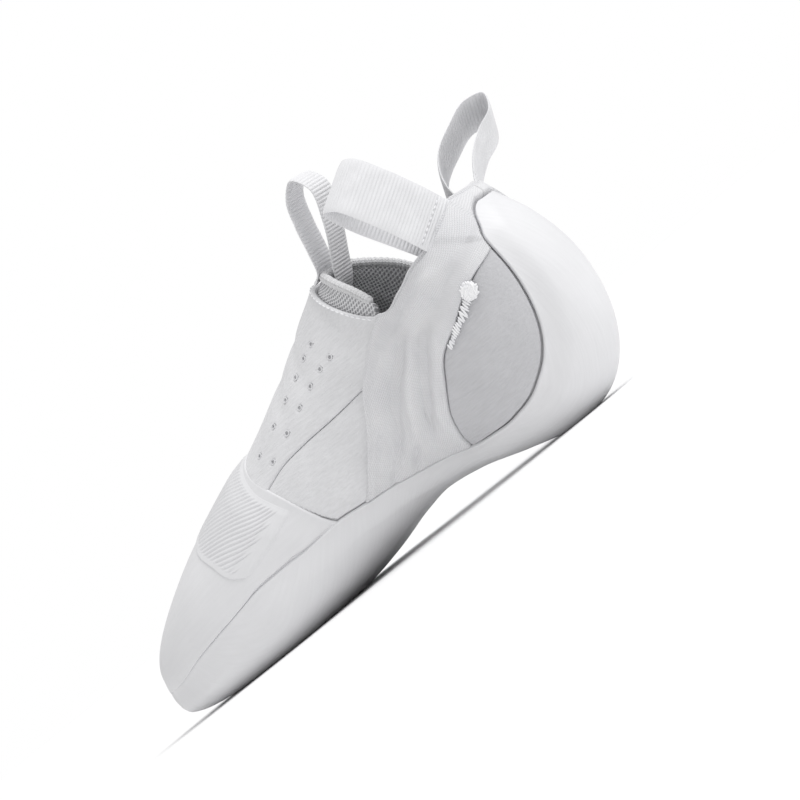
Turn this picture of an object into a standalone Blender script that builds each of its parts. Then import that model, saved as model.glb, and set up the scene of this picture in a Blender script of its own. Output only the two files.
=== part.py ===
# Climbing slipper for the right foot, standing empty on its sole.
# Metres, +Z up. The toe points to -X and the medial side faces -Y.
# Every piece is a layer over one surface, the last, at its own height above the upper.

import bmesh
import bpy
import numpy as np

# Driving dimensions
LENGTH = 0.230           # toe rim to the back of the heel, over the upper
BALL_WIDTH = 0.084       # over the upper, at the joints of the toes
INSTEP_HEIGHT = 0.0995   # throat above the floor
HEEL_HEIGHT = 0.093      # back of the collar above the floor
WALL = 0.0022            # microfibre and lining together
SEAT_GAP = 0.0003        # between pieces that are glued or sewn together
SOLE_GAP = 0.0005        # under the sole, the toe rubber and the insole
TONGUE_GAP = 0.0005      # the tongue lies loosely in the throat
SOLE_MIDDLE = 0.0048     # rubber under the foot
SOLE_RIM = 0.0030        # rubber at the sole's edge, forefoot
ARCH_RIM = 0.0016        # rubber at the sole's edge, arch
SOLE_TIP = 0.0018        # rubber at the very tip of the toe
HEEL_MIDDLE = 0.0036     # rubber behind and under the heel
HEEL_RIM = 0.0014        # rubber at the slingshot edge
TOE_RUBBER = 0.0015      # rubber over the toes
INSOLE_THICKNESS = 0.0018
TONGUE_THICKNESS = 0.0018
HEEL_WEB = 0.020         # width of the heel loops' webbing
TONGUE_WEB = 0.014       # width of the tongue loop's webbing
WEB_THICKNESS = 0.0013

# The last, section by section from the toe rim to the collar. Each section is a closed curve through a
# point on the base line (sole, then back of heel) and a point on the top line (toes, vamp, throat).
# top_x, base_x: share of LENGTH. top_z: share of INSTEP_HEIGHT. base_z: share of HEEL_HEIGHT.
# middle, ridge, half: share of half the ball width. middle is the sideways place of the section and ridge
# the sideways lean of its top (both minus towards the big toe), half its half width.
# bow: share of LENGTH by which its sides trail behind. girth: how far up it is widest.
# crown, tread: squareness of the half above and below that, where 2 is an ellipse.
SECTION_COLUMNS = "top_x top_z base_x base_z middle ridge half bow girth crown tread".split()
SECTIONS = np.array((
    (0.004, 0.166, 0.004, 0.140, -0.45, 0.00, 0.17, 0.022, 0.50, 2.0, 2.2),
    (0.017, 0.246, 0.019, 0.100, -0.43, 0.00, 0.34, 0.024, 0.42, 2.1, 2.5),
    (0.057, 0.327, 0.057, 0.071, -0.37, -0.02, 0.53, 0.021, 0.36, 2.1, 2.9),
    (0.122, 0.417, 0.117, 0.054, -0.26, -0.06, 0.73, 0.013, 0.31, 2.1, 3.2),
    (0.204, 0.513, 0.200, 0.045, -0.12, -0.12, 0.91, 0.005, 0.29, 2.0, 3.2),
    (0.296, 0.598, 0.296, 0.049, -0.01, -0.16, 0.99, 0.000, 0.29, 1.9, 3.1),
    (0.383, 0.673, 0.391, 0.081, 0.05, -0.14, 0.96, 0.000, 0.31, 1.8, 2.8),
    (0.465, 0.764, 0.487, 0.129, 0.08, -0.10, 0.86, 0.000, 0.34, 1.8, 2.5),
    (0.530, 0.844, 0.583, 0.156, 0.08, -0.06, 0.76, 0.000, 0.37, 1.8, 2.3),
    (0.578, 0.905, 0.678, 0.129, 0.06, -0.03, 0.70, 0.000, 0.38, 1.9, 2.2),
    (0.609, 0.940, 0.770, 0.070, 0.03, -0.01, 0.68, 0.000, 0.38, 1.9, 2.2),
    (0.626, 0.960, 0.852, 0.033, 0.01, 0.00, 0.67, 0.000, 0.39, 1.9, 2.1),
    (0.639, 0.975, 0.926, 0.081, 0.00, 0.00, 0.67, 0.000, 0.40, 2.0, 2.1),
    (0.648, 0.985, 0.978, 0.237, 0.00, 0.00, 0.66, 0.000, 0.40, 2.0, 2.1),
    (0.654, 0.993, 1.000, 0.473, 0.00, 0.00, 0.64, 0.000, 0.41, 2.0, 2.1),
    (0.659, 0.997, 0.987, 0.710, 0.00, 0.00, 0.60, 0.000, 0.43, 2.0, 2.1),
    (0.663, 1.000, 0.943, 1.000, 0.00, 0.00, 0.53, 0.000, 0.46, 2.0, 2.1),
))
SECTION_UNITS = {"top_x": LENGTH, "base_x": LENGTH, "bow": LENGTH, "top_z": INSTEP_HEIGHT,
                 "base_z": HEEL_HEIGHT, "middle": BALL_WIDTH / 2, "ridge": BALL_WIDTH / 2,
                 "half": BALL_WIDTH / 2}
COLLAR = len(SECTIONS) - 1.0     # last section, the back of the collar
FAN_START = 8.0                  # sections after this one fan round the ankle

# Lines on the last. along counts sections from the toe, turn goes once round a section from the
# base line by the medial side, so 0.25 is the widest place there and 0.5 the top line.
FEATHER_LINE = np.array((        # along, turn: upper edge of the sole
    (0.0, 0.250), (2.0, 0.252), (3.5, 0.265), (5.0, 0.268), (6.0, 0.250), (7.0, 0.205), (7.7, 0.160),
    (8.6, 0.128), (9.7, 0.122), (16.0, 0.122)))
SLINGSHOT_LINE = np.array((      # along, turn: front edge of the heel cup
    (9.7, 0.122), (10.5, 0.134), (11.2, 0.140), (11.9, 0.140), (12.6, 0.133), (13.5, 0.122),
    (14.2, 0.115), (14.8, 0.100), (15.2, 0.078), (15.55, 0.055)))
COLLAR_LINE = np.array((         # turn, along: top edge of the upper
    (0.00, 15.8), (0.08, 15.8), (0.13, 15.6), (0.20, 15.2), (0.25, 14.8), (0.29, 13.9), (0.325, 12.8),
    (0.38, 12.2), (0.43, 11.8), (0.50, 11.5)))
TONGUE_LINE = np.array((         # turn, along: top edge of the tongue
    (0.33, 13.2), (0.38, 14.2), (0.43, 15.2), (0.50, 15.7)))
TOE_RUBBER_LINE = np.array((     # turn, along: rear edge of the toe rubber
    (0.20, 7.0), (0.28, 6.65), (0.37, 6.1), (0.43, 5.9), (0.50, 5.8)))

TOE_CROWDING = 1.15              # facets get smaller towards the toe rim
HEM_SHARE = 0.66                 # the upper's hem underneath, as a share of the feather line
HEM_START = 1.5                  # the opening underneath, first and last section
HEM_END = 10.6
INSIDE_START = 1.1               # the hollow ends this many sections behind the toe rim
TIP_END = 1.4                    # the sole has its full thickness from this section on
SOLE_END = 9.7                   # the outsole meets the heel cup here
INSOLE_EDGE = 0.78               # share of the feather line
INSOLE_START = 1.6
INSOLE_END = 10.9
TONGUE_START = 8.8
TONGUE_EDGE = 0.335              # turn at the tongue's medial side
EDGE_GAP = 0.0045                # turn left free between the toe rubber and the sole
FULL_RIM = 5.0                   # up to this section the sole has its forefoot thickness
ARCH_STEP = 0.09                 # share of LENGTH between two sections at the arch
ARCH_BLEND = 10.0                # the heel cup's edge has its own thickness from this section on
HEEL_THINNING = 13.0             # the heel rubber gets thinner above this section
SHARP_EDGE = np.radians(40)      # steeper edges than this stay sharp

# Facets, rows along the shoe by columns round it
UPPER_ROWS, HEM_COLUMNS, SIDE_COLUMNS = 37, 6, 14
GRIDS = {"outsole": (27, 19), "heel_cup": (21, 17), "toe_cap": (17, 25), "insole": (17, 9),
         "tongue": (12, 13), "loop": (25, 3)}

WHITE_LEATHER = ((0.80, 0.80, 0.81), 0.60)
WHITE_RUBBER = ((0.84, 0.84, 0.85), 0.45)
WHITE_KNIT = ((0.78, 0.78, 0.79), 0.85)
WHITE_WEBBING = ((0.83, 0.83, 0.84), 0.70)


def section_value(name, along):
    """A column of the section table, read by a smooth curve between its rows."""
    column = SECTIONS[:, SECTION_COLUMNS.index(name)] * SECTION_UNITS.get(name, 1.0)
    slope = np.gradient(column)
    row = np.clip(np.floor(along).astype(int), 0, len(column) - 2)
    f = along - row
    rise = column[row + 1] - column[row]
    ease = f * f * (3 - 2 * f)
    lean = f * (1 - f) * ((1 - f) * slope[row] - f * slope[row + 1])
    return column[row] + ease * rise + lean


def profile_point(side, along, lift):
    """A point on the top or base line of the side view, moved out by lift."""
    step = 0.05
    before = np.clip(along - step, 0, COLLAR)
    after = np.clip(along + step, 0, COLLAR)
    run = section_value(side + "_x", after) - section_value(side + "_x", before)
    rise = section_value(side + "_z", after) - section_value(side + "_z", before)
    size = np.hypot(run, rise)
    out = 1.0 if side == "top" else -1.0
    x = section_value(side + "_x", along) - out * lift * rise / size
    z = section_value(side + "_z", along) + out * lift * run / size
    return x, z


def last_points(along, turn, lift):
    """Points on the last at a place along and round it, lift above the upper's outer face."""
    along, turn, lift = np.broadcast_arrays(along, turn, lift)
    top_x, top_z = profile_point("top", along, lift)
    base_x, base_z = profile_point("base", along, lift)
    up = -np.cos(2 * np.pi * turn)
    out = -np.sin(2 * np.pi * turn)
    square = np.where(up > 0, section_value("crown", along), section_value("tread", along))
    up = np.sign(up) * np.abs(up) ** (2 / square)
    out = np.sign(out) * np.abs(out) ** (2 / square)
    girth = section_value("girth", along)
    share = girth + up * np.where(up > 0, 1 - girth, girth)
    lean = np.clip(up, 0, 1) * section_value("ridge", along)
    x = base_x + share * (top_x - base_x) + section_value("bow", along) * out * out
    y = section_value("middle", along) + lean + out * (section_value("half", along) + lift)
    z = base_z + share * (top_z - base_z)
    return np.stack((x, y, z), axis=-1)


def read_line(line, at):
    """A line's second column at a value of its first."""
    return np.interp(at, line[:, 0], line[:, 1])


def folded(turn):
    """Turn counted from the base line up either side, 0 to 0.5."""
    return 0.5 - np.abs(np.mod(turn, 1.0) - 0.5)


def grid_faces(rows, columns):
    """Quads over a grid of vertices numbered row by row."""
    number = np.arange(rows * columns).reshape(rows, columns)
    return np.stack((number[:-1, :-1], number[:-1, 1:], number[1:, 1:], number[1:, :-1]), -1).reshape(-1, 4)


def rim_order(rows, columns):
    """Vertex numbers once round the edge of a grid."""
    number = np.arange(rows * columns).reshape(rows, columns)
    return np.concatenate((number[0, :-1], number[:-1, -1], number[-1, :0:-1], number[:0:-1, 0]))


def new_object(name, points, faces, finish, parent):
    """An object from points and faces, with its faces turned outwards and its own material."""
    mesh = bpy.data.meshes.new(name)
    mesh.from_pydata([tuple(p) for p in points], [], [tuple(int(i) for i in f) for f in faces])
    shell = bmesh.new()
    shell.from_mesh(mesh)
    bmesh.ops.recalc_face_normals(shell, faces=shell.faces)
    shell.to_mesh(mesh)
    shell.free()
    mesh.shade_smooth()
    mesh.set_sharp_from_angle(angle=SHARP_EDGE)
    colour, roughness = finish
    material = bpy.data.materials.new(name)
    material.use_nodes = True
    shader = material.node_tree.nodes["Principled BSDF"]
    shader.inputs["Base Color"].default_value = (*colour, 1.0)
    shader.inputs["Roughness"].default_value = roughness
    shader.inputs["Metallic"].default_value = 0.0
    mesh.materials.append(material)
    piece = bpy.data.objects.new(name, mesh)
    piece.parent = parent
    bpy.context.collection.objects.link(piece)
    return piece


def layer(name, inner, outer, finish, parent):
    """A closed slab between two grids of points."""
    rows, columns = outer.shape[:2]
    quads = grid_faces(rows, columns)
    rim = rim_order(rows, columns)
    count = rows * columns
    walls = np.stack((rim, np.roll(rim, -1), np.roll(rim, -1) + count, rim + count), -1)
    points = np.concatenate((outer.reshape(-1, 3), inner.reshape(-1, 3)))
    faces = np.concatenate((quads, quads[:, ::-1] + count, walls))
    return new_object(name, points, faces, finish, parent)


def on_floor(points):
    """Points that would lie under the floor are flattened onto it."""
    flat = points.copy()
    flat[..., 2] = np.maximum(flat[..., 2], 0.0)
    return flat


def make_upper(parent):
    """Hollow shell with its hem turned in underneath and its collar open."""
    rows = UPPER_ROWS
    steps = COLLAR * np.linspace(0, 1, rows)[:, None] ** TOE_CROWDING
    hem = HEM_SHARE * read_line(FEATHER_LINE, steps)
    across = np.concatenate((np.linspace(0, 1, HEM_COLUMNS), np.linspace(1, 2, SIDE_COLUMNS + 1)[1:]))
    across = np.concatenate((across, 4 - across[-2:0:-1]))
    climb = np.minimum(across, 4 - across)
    half_turn = np.where(climb < 1, climb * hem, hem + (climb - 1) * (0.5 - hem))
    turn = np.where(across > 2, 1 - half_turn, half_turn)
    end = read_line(COLLAR_LINE, folded(turn))
    fan = FAN_START + (steps - FAN_START) * (end - FAN_START) / (COLLAR - FAN_START)
    along = np.where(steps > FAN_START, fan, steps)
    inside = along + INSIDE_START * (1 - along / COLLAR) ** 4
    outer = last_points(along, turn, 0.0)
    inner = last_points(inside, turn, -WALL)
    columns = len(across)
    count = rows * columns
    number = np.arange(count).reshape(rows, columns)
    ahead = np.roll(number, -1, axis=1)
    quads = np.stack((number[:-1], ahead[:-1], ahead[1:], number[1:]), -1)
    middle = (steps[:-1] + steps[1:]) / 2
    underneath = (climb + np.roll(climb, -1)) / 2 < 1
    kept = ~((middle > HEM_START) & (middle < HEM_END) & underneath[None, :])
    outside = quads[kept]
    sides = [(quad[i], quad[(i + 1) % 4]) for quad in outside for i in range(4)]
    known = set(sides)
    toe_rim = set(number[0])
    edges = [(a, b) for a, b in sides if (b, a) not in known and not toe_rim.issuperset((a, b))]
    faces = [*outside, *(outside[:, ::-1] + count)]
    faces += [(a, b, b + count, a + count) for a, b in edges]
    faces += [number[0], number[0][::-1] + count]
    points = np.concatenate((outer.reshape(-1, 3), inner.reshape(-1, 3)))
    used = np.unique(np.concatenate([np.asarray(f) for f in faces]))
    renumber = np.full(len(points), -1)
    renumber[used] = np.arange(len(used))
    return new_object("upper", points[used], [renumber[np.asarray(f)] for f in faces], WHITE_LEATHER, parent)


def make_outsole(parent):
    """Moulded sole, thickest under the foot, wrapped up to the feather line."""
    rows, columns = GRIDS["outsole"]
    steps = SOLE_END * np.linspace(0, 1, rows)[:, None] ** TOE_CROWDING
    across = np.linspace(-1, 1, columns)[None, :]
    turn = across * read_line(FEATHER_LINE, steps)
    forefoot = np.clip((SOLE_END - steps) / (SOLE_END - FULL_RIM), 0, 1)
    rim = ARCH_RIM + (SOLE_RIM - ARCH_RIM) * forefoot
    middle = HEEL_MIDDLE + (SOLE_MIDDLE - HEEL_MIDDLE) * forefoot
    thick = rim + (middle - rim) * (1 - across ** 4)
    thick = SOLE_TIP + (thick - SOLE_TIP) * np.clip(steps / TIP_END, 0, 1)
    inner = last_points(steps, turn, SOLE_GAP)
    outer = on_floor(last_points(steps, turn, SOLE_GAP + thick))
    return layer("outsole", inner, outer, WHITE_RUBBER, parent)


def make_heel_cup(parent):
    """Moulded heel from the arch to below the collar, bounded by the slingshot edge."""
    rows, columns = GRIDS["heel_cup"]
    start = SOLE_END + 2 * SEAT_GAP / (ARCH_STEP * LENGTH)
    end = SLINGSHOT_LINE[-1, 0]
    steps = np.linspace(start, end, rows)[:, None]
    across = np.linspace(-1, 1, columns)[None, :]
    turn = across * read_line(SLINGSHOT_LINE, steps)
    top = np.clip((steps - HEEL_THINNING) / (end - HEEL_THINNING), 0, 1)
    middle = HEEL_MIDDLE + (HEEL_RIM - HEEL_MIDDLE) * top ** 2
    rim = HEEL_RIM + (ARCH_RIM - HEEL_RIM) * np.clip(ARCH_BLEND - steps, 0, 1)
    thick = rim + (middle - rim) * (1 - across ** 4)
    inner = last_points(steps, turn, SEAT_GAP)
    outer = on_floor(last_points(steps, turn, SEAT_GAP + thick))
    return layer("heel_cup", inner, outer, WHITE_RUBBER, parent)


def make_toe_cap(parent):
    """Thin rubber over the toes, from the sole's edge back to its own rear edge."""
    rows, columns = GRIDS["toe_cap"]
    share = np.linspace(0, 1, rows)[:, None] ** TOE_CROWDING
    across = np.linspace(0, 1, columns)[None, :]
    side = 0.5 - np.abs(across - 0.5)
    first = TOE_RUBBER_LINE[0, 0]
    rear = read_line(TOE_RUBBER_LINE, first + side * (1 - 2 * first))
    along = share * rear
    edge = read_line(FEATHER_LINE, along) + EDGE_GAP
    turn = edge + across * (1 - 2 * edge)
    inner = last_points(along, turn, SOLE_GAP)
    outer = last_points(along, turn, SOLE_GAP + TOE_RUBBER)
    return layer("toe_cap", inner, outer, WHITE_RUBBER, parent)


def make_insole(parent):
    """Board inside the upper, lying on the turned-in hem."""
    rows, columns = GRIDS["insole"]
    steps = np.linspace(INSOLE_START, INSOLE_END, rows)[:, None]
    turn = np.linspace(-1, 1, columns)[None, :] * INSOLE_EDGE * read_line(FEATHER_LINE, steps)
    below = last_points(steps, turn, -WALL - SOLE_GAP)
    above = last_points(steps, turn, -WALL - SOLE_GAP - INSOLE_THICKNESS)
    return layer("insole", below, above, WHITE_KNIT, parent)


def make_tongue(parent):
    """Knitted tongue lining the throat and standing above the vamp."""
    rows, columns = GRIDS["tongue"]
    share = np.linspace(0, 1, rows)[:, None]
    turn = np.linspace(TONGUE_EDGE, 1 - TONGUE_EDGE, columns)[None, :]
    along = TONGUE_START + share * (read_line(TONGUE_LINE, folded(turn)) - TONGUE_START)
    outer = last_points(along, turn, -WALL - TONGUE_GAP)
    inner = last_points(along, turn, -WALL - TONGUE_GAP - TONGUE_THICKNESS)
    return layer("tongue", inner, outer, WHITE_KNIT, parent)


def smooth_route(route, count):
    """Points on a smooth curve through a short list of points."""
    route = np.asarray(route, float)
    slope = np.gradient(route, axis=0)
    at = np.linspace(0, len(route) - 1, count)
    row = np.minimum(at.astype(int), len(route) - 2)
    f = (at - row)[:, None]
    ease = f * f * (3 - 2 * f)
    lean = f * (1 - f) * ((1 - f) * slope[row] - f * slope[row + 1])
    return route[row] + ease * (route[row + 1] - route[row]) + lean


# Each pull loop: where its seam crosses an edge, and its route in the plane across that edge.
# out is the distance outwards from the edge's outer face and up the distance above the edge, in metres.
LOOP_COLUMNS = "name edge turn width route".split()
LOOPS = (
    ("heel_loop_medial", "collar", 0.145, HEEL_WEB,
     ((0.0008, -0.011), (0.0006, -0.003), (0.006, 0.009), (0.013, 0.020), (0.016, 0.031), (0.008, 0.037),
      (-0.001, 0.029), (-0.006, 0.016), (-0.0095, 0.004), (-0.0105, -0.006))),
    ("heel_loop_lateral", "collar", 0.855, HEEL_WEB,
     ((0.0008, -0.011), (0.0006, -0.003), (0.007, 0.006), (0.018, 0.010), (0.029, 0.012), (0.033, 0.017),
      (0.028, 0.021), (0.016, 0.021), (0.003, 0.018), (-0.007, 0.009), (-0.0105, -0.005))),
    ("tongue_loop", "tongue", 0.50, TONGUE_WEB,
     ((0.0001, -0.0045), (0.0003, -0.001), (0.006, 0.005), (0.015, 0.011), (0.023, 0.018), (0.025, 0.025),
      (0.018, 0.027), (0.008, 0.020), (-0.001, 0.010), (-0.0075, 0.001), (-0.0095, -0.007))),
)
LOOP_EDGES = {"collar": (COLLAR_LINE, 0.0), "tongue": (TONGUE_LINE, -WALL - TONGUE_GAP)}


def edge_frame(line, lift, turn):
    """The point of an edge line at a turn, and the directions along, up and out of the surface there."""
    turn_step, along_step, lift_step = 0.02, 0.4, 0.001
    along = read_line(line, folded(turn))
    point = last_points(along, turn, lift)
    before, after = (last_points(read_line(line, folded(near)), near, lift)
                     for near in (turn - turn_step, turn + turn_step))
    sideways = (after - before) / np.linalg.norm(after - before)
    upwards = point - last_points(along - along_step, turn, lift)
    upwards = upwards - sideways * np.dot(upwards, sideways)
    upwards = upwards / np.linalg.norm(upwards)
    outwards = np.cross(upwards, sideways)
    outwards = outwards * np.sign(np.dot(outwards, last_points(along, turn, lift + lift_step) - point))
    return point, sideways, upwards, outwards


def make_loop(spec, parent):
    """Webbing folded over an edge of the collar or tongue and sewn on both faces."""
    loop = dict(zip(LOOP_COLUMNS, spec))
    line, lift = LOOP_EDGES[loop["edge"]]
    seam, sideways, upwards, outwards = edge_frame(line, lift, np.array(loop["turn"]))
    rows, columns = GRIDS["loop"]
    clear = SEAT_GAP + WEB_THICKNESS / 2
    route = smooth_route(loop["route"], rows)
    path = seam + (route[:, :1] + clear) * outwards + route[:, 1:] * upwards
    run = np.gradient(path, axis=0)
    run = run / np.linalg.norm(run, axis=1, keepdims=True)
    face = np.cross(run, sideways)
    across = np.linspace(-loop["width"] / 2, loop["width"] / 2, columns)[None, :, None] * sideways
    front = path[:, None] + face[:, None] * WEB_THICKNESS / 2 + across
    back = path[:, None] - face[:, None] * WEB_THICKNESS / 2 + across
    return layer(loop["name"], back, front, WHITE_WEBBING, parent)


def main():
    for old in list(bpy.data.objects):
        bpy.data.objects.remove(old, do_unlink=True)
    shoe = bpy.data.objects.new("climbing_shoe", None)
    bpy.context.collection.objects.link(shoe)
    pieces = [make(shoe) for make in (make_upper, make_outsole, make_heel_cup, make_toe_cap, make_insole,
                                      make_tongue)]
    pieces += [make_loop(spec, shoe) for spec in LOOPS]
    corners = np.array([corner for piece in pieces for corner in piece.bound_box])
    middle = (corners.min(axis=0) + corners.max(axis=0)) / 2
    shoe.location = (-middle[0], -middle[1], -corners[:, 2].min())


main()
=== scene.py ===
import bpy
import numpy as np
from mathutils import Matrix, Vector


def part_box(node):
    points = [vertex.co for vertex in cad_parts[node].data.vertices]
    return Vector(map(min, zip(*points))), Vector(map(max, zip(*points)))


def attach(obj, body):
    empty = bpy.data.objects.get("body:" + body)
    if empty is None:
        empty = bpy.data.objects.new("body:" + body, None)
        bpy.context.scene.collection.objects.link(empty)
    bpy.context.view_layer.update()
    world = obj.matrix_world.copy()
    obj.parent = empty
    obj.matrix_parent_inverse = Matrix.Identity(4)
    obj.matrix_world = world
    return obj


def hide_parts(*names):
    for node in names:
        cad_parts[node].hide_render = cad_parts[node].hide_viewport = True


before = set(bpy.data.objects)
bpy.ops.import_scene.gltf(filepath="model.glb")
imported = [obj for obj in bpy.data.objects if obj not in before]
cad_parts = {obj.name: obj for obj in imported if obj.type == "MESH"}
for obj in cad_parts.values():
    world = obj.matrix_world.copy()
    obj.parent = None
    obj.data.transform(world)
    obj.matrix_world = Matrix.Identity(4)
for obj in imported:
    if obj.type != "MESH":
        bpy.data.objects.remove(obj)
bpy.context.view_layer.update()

# Slip-on climbing shoe for the right foot. Every piece is a layer over one surface, the last.
mm = 0.001
sectionLength, turnLength = 17 * mm, 210 * mm  # about what a section and a whole turn measure on the shoe
print("frame loaded", len(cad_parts), "nodes")

# The last: sizes in metres, then one row for each section from the toe rim to the collar.
# Lengths are shares of the shoe's length, heights of instep and heel height, widths of half the ball width.
lastForm = {
    "length": 0.230,
    "ballWidth": 0.084,
    "instepHeight": 0.0995,
    "heelHeight": 0.093,
    "wall": 0.0022,
    "columns": "topX topZ baseX baseZ middle ridge half bow girth crown tread".split(),
    "sections": np.array((
        (0.004, 0.166, 0.004, 0.140, -0.45, 0.00, 0.17, 0.022, 0.50, 2.0, 2.2),
        (0.017, 0.246, 0.019, 0.100, -0.43, 0.00, 0.34, 0.024, 0.42, 2.1, 2.5),
        (0.057, 0.327, 0.057, 0.071, -0.37, -0.02, 0.53, 0.021, 0.36, 2.1, 2.9),
        (0.122, 0.417, 0.117, 0.054, -0.26, -0.06, 0.73, 0.013, 0.31, 2.1, 3.2),
        (0.204, 0.513, 0.200, 0.045, -0.12, -0.12, 0.91, 0.005, 0.29, 2.0, 3.2),
        (0.296, 0.598, 0.296, 0.049, -0.01, -0.16, 0.99, 0.000, 0.29, 1.9, 3.1),
        (0.383, 0.673, 0.391, 0.081, 0.05, -0.14, 0.96, 0.000, 0.31, 1.8, 2.8),
        (0.465, 0.764, 0.487, 0.129, 0.08, -0.10, 0.86, 0.000, 0.34, 1.8, 2.5),
        (0.530, 0.844, 0.583, 0.156, 0.08, -0.06, 0.76, 0.000, 0.37, 1.8, 2.3),
        (0.578, 0.905, 0.678, 0.129, 0.06, -0.03, 0.70, 0.000, 0.38, 1.9, 2.2),
        (0.609, 0.940, 0.770, 0.070, 0.03, -0.01, 0.68, 0.000, 0.38, 1.9, 2.2),
        (0.626, 0.960, 0.852, 0.033, 0.01, 0.00, 0.67, 0.000, 0.39, 1.9, 2.1),
        (0.639, 0.975, 0.926, 0.081, 0.00, 0.00, 0.67, 0.000, 0.40, 2.0, 2.1),
        (0.648, 0.985, 0.978, 0.237, 0.00, 0.00, 0.66, 0.000, 0.40, 2.0, 2.1),
        (0.654, 0.993, 1.000, 0.473, 0.00, 0.00, 0.64, 0.000, 0.41, 2.0, 2.1),
        (0.659, 0.997, 0.987, 0.710, 0.00, 0.00, 0.60, 0.000, 0.43, 2.0, 2.1),
        (0.663, 1.000, 0.943, 1.000, 0.00, 0.00, 0.53, 0.000, 0.46, 2.0, 2.1),
    )),
}
halfBall = lastForm["ballWidth"] / 2
sectionUnits = {"topX": lastForm["length"], "baseX": lastForm["length"], "bow": lastForm["length"],
                "topZ": lastForm["instepHeight"], "baseZ": lastForm["heelHeight"],
                "middle": halfBall, "ridge": halfBall, "half": halfBall}
collarSection = len(lastForm["sections"]) - 1.0


# Cubic Hermite curve from one value to the next at the share f, with their slopes over the whole step.
def hermite(f, first, last, firstSlope, lastSlope):
    ease = f * f * (3 - 2 * f)
    return first + ease * (last - first) + f * (1 - f) * ((1 - f) * firstSlope - f * lastSlope)


def unit(vectors):
    return vectors / np.linalg.norm(vectors, axis=-1, keepdims=True)


# Length along a path at each of its points.
def pathLength(path):
    return np.concatenate(((0.0,), np.cumsum(np.linalg.norm(np.diff(path, axis=0), axis=1))))


# Reading of one column: Hermite pieces whose slopes at the rows are central differences.
def sectionValue(name, along):
    column = lastForm["sections"][:, lastForm["columns"].index(name)] * sectionUnits.get(name, 1.0)
    slope = np.gradient(column)
    row = np.clip(np.floor(along).astype(int), 0, len(column) - 2)
    return hermite(along - row, column[row], column[row + 1], slope[row], slope[row + 1])


# Point of the top or base line in the side view, moved out by lift at right angles to the line.
def profilePoint(side, along, lift):
    step = 0.05
    before = np.clip(along - step, 0, collarSection)
    after = np.clip(along + step, 0, collarSection)
    run = sectionValue(side + "X", after) - sectionValue(side + "X", before)
    rise = sectionValue(side + "Z", after) - sectionValue(side + "Z", before)
    out = lift / np.hypot(run, rise) * (1.0 if side == "top" else -1.0)
    return sectionValue(side + "X", along) - out * rise, sectionValue(side + "Z", along) + out * run


# The last as a function of two parameters. along counts sections and turn goes once round a section from the
# base line by the medial side. Each half section is a superellipse from base line by side to top line.
def barePoint(along, turn, lift):
    along, turn, lift = np.broadcast_arrays(along, turn, lift)
    topX, topZ = profilePoint("top", along, lift)
    baseX, baseZ = profilePoint("base", along, lift)
    up = -np.cos(2 * np.pi * turn)
    out = -np.sin(2 * np.pi * turn)
    square = np.where(up > 0, sectionValue("crown", along), sectionValue("tread", along))
    up = np.sign(up) * np.abs(up) ** (2 / square)
    out = np.sign(out) * np.abs(out) ** (2 / square)
    girth = sectionValue("girth", along)
    share = girth + up * np.where(up > 0, 1 - girth, girth)
    lean = np.clip(up, 0, 1) * sectionValue("ridge", along)
    x = baseX + share * (topX - baseX) + sectionValue("bow", along) * out * out
    y = sectionValue("middle", along) + lean + out * (sectionValue("half", along) + lift)
    return np.stack((x, y, baseZ + share * (topZ - baseZ)), axis=-1)


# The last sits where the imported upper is: their lowest x and y agree.
bareGrid = barePoint(np.linspace(0, collarSection, 161)[:, None], np.linspace(0, 1, 241)[None, :], 0.0)
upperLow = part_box("upper")[0]
shoeShift = np.array((upperLow.x - bareGrid[..., 0].min(), upperLow.y - bareGrid[..., 1].min(), 0.0))


def lastPoint(along, turn, lift):
    return barePoint(along, turn, lift) + shoeShift


# Lines on the last. The first two run by along and give the turn on the medial side. The others run by turn
# and give along.
featherLine = np.array(((0.0, 0.250), (2.0, 0.252), (3.5, 0.265), (5.0, 0.268), (6.0, 0.250), (7.0, 0.205),
                        (7.7, 0.160), (8.6, 0.128), (9.7, 0.122), (16.0, 0.122)))
slingshotLine = np.array(((9.7, 0.122), (10.5, 0.134), (11.2, 0.140), (11.9, 0.140), (12.6, 0.133),
                          (13.5, 0.124), (14.2, 0.119), (14.75, 0.114), (15.0, 0.109), (15.2, 0.094),
                          (15.4, 0.074), (15.5, 0.056), (15.55, 0.038)))
collarLine = np.array(((0.00, 15.8), (0.08, 15.8), (0.13, 15.6), (0.20, 15.2), (0.25, 14.8), (0.29, 13.9),
                       (0.325, 12.8), (0.38, 12.2), (0.43, 11.8), (0.50, 11.5)))
tongueLine = np.array(((0.33, 13.2), (0.38, 14.2), (0.43, 15.2), (0.50, 15.7)))
toeRubberLine = np.array(((0.20, 7.0), (0.28, 6.65), (0.37, 6.1), (0.43, 5.9), (0.50, 5.8)))
soleEnd = 9.7


# Smooth curve through the rows of a short table, by Hermite pieces. The slope at a row is the harmonic mean
# of its two chords' slopes, or 0 where these change sign, so that the curve never swings past a row.
def readLine(line, at):
    x, y = line[:, 0], line[:, 1]
    at = np.clip(at, x[0], x[-1])
    chord = np.diff(y) / np.diff(x)
    before = np.concatenate((chord[:1], chord))
    after = np.concatenate((chord, chord[-1:]))
    same = before * after > 0
    slope = np.where(same, 2 * before * after / np.where(same, before + after, 1.0), 0.0)
    row = np.clip(np.searchsorted(x, at, side="right") - 1, 0, len(x) - 2)
    width = x[row + 1] - x[row]
    return hermite((at - x[row]) / width, y[row], y[row + 1], slope[row] * width, slope[row + 1] * width)


# Turn counted from the base line up either side, 0 to 0.5.
def folded(turn):
    return 0.5 - np.abs(np.mod(turn, 1.0) - 0.5)


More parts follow.
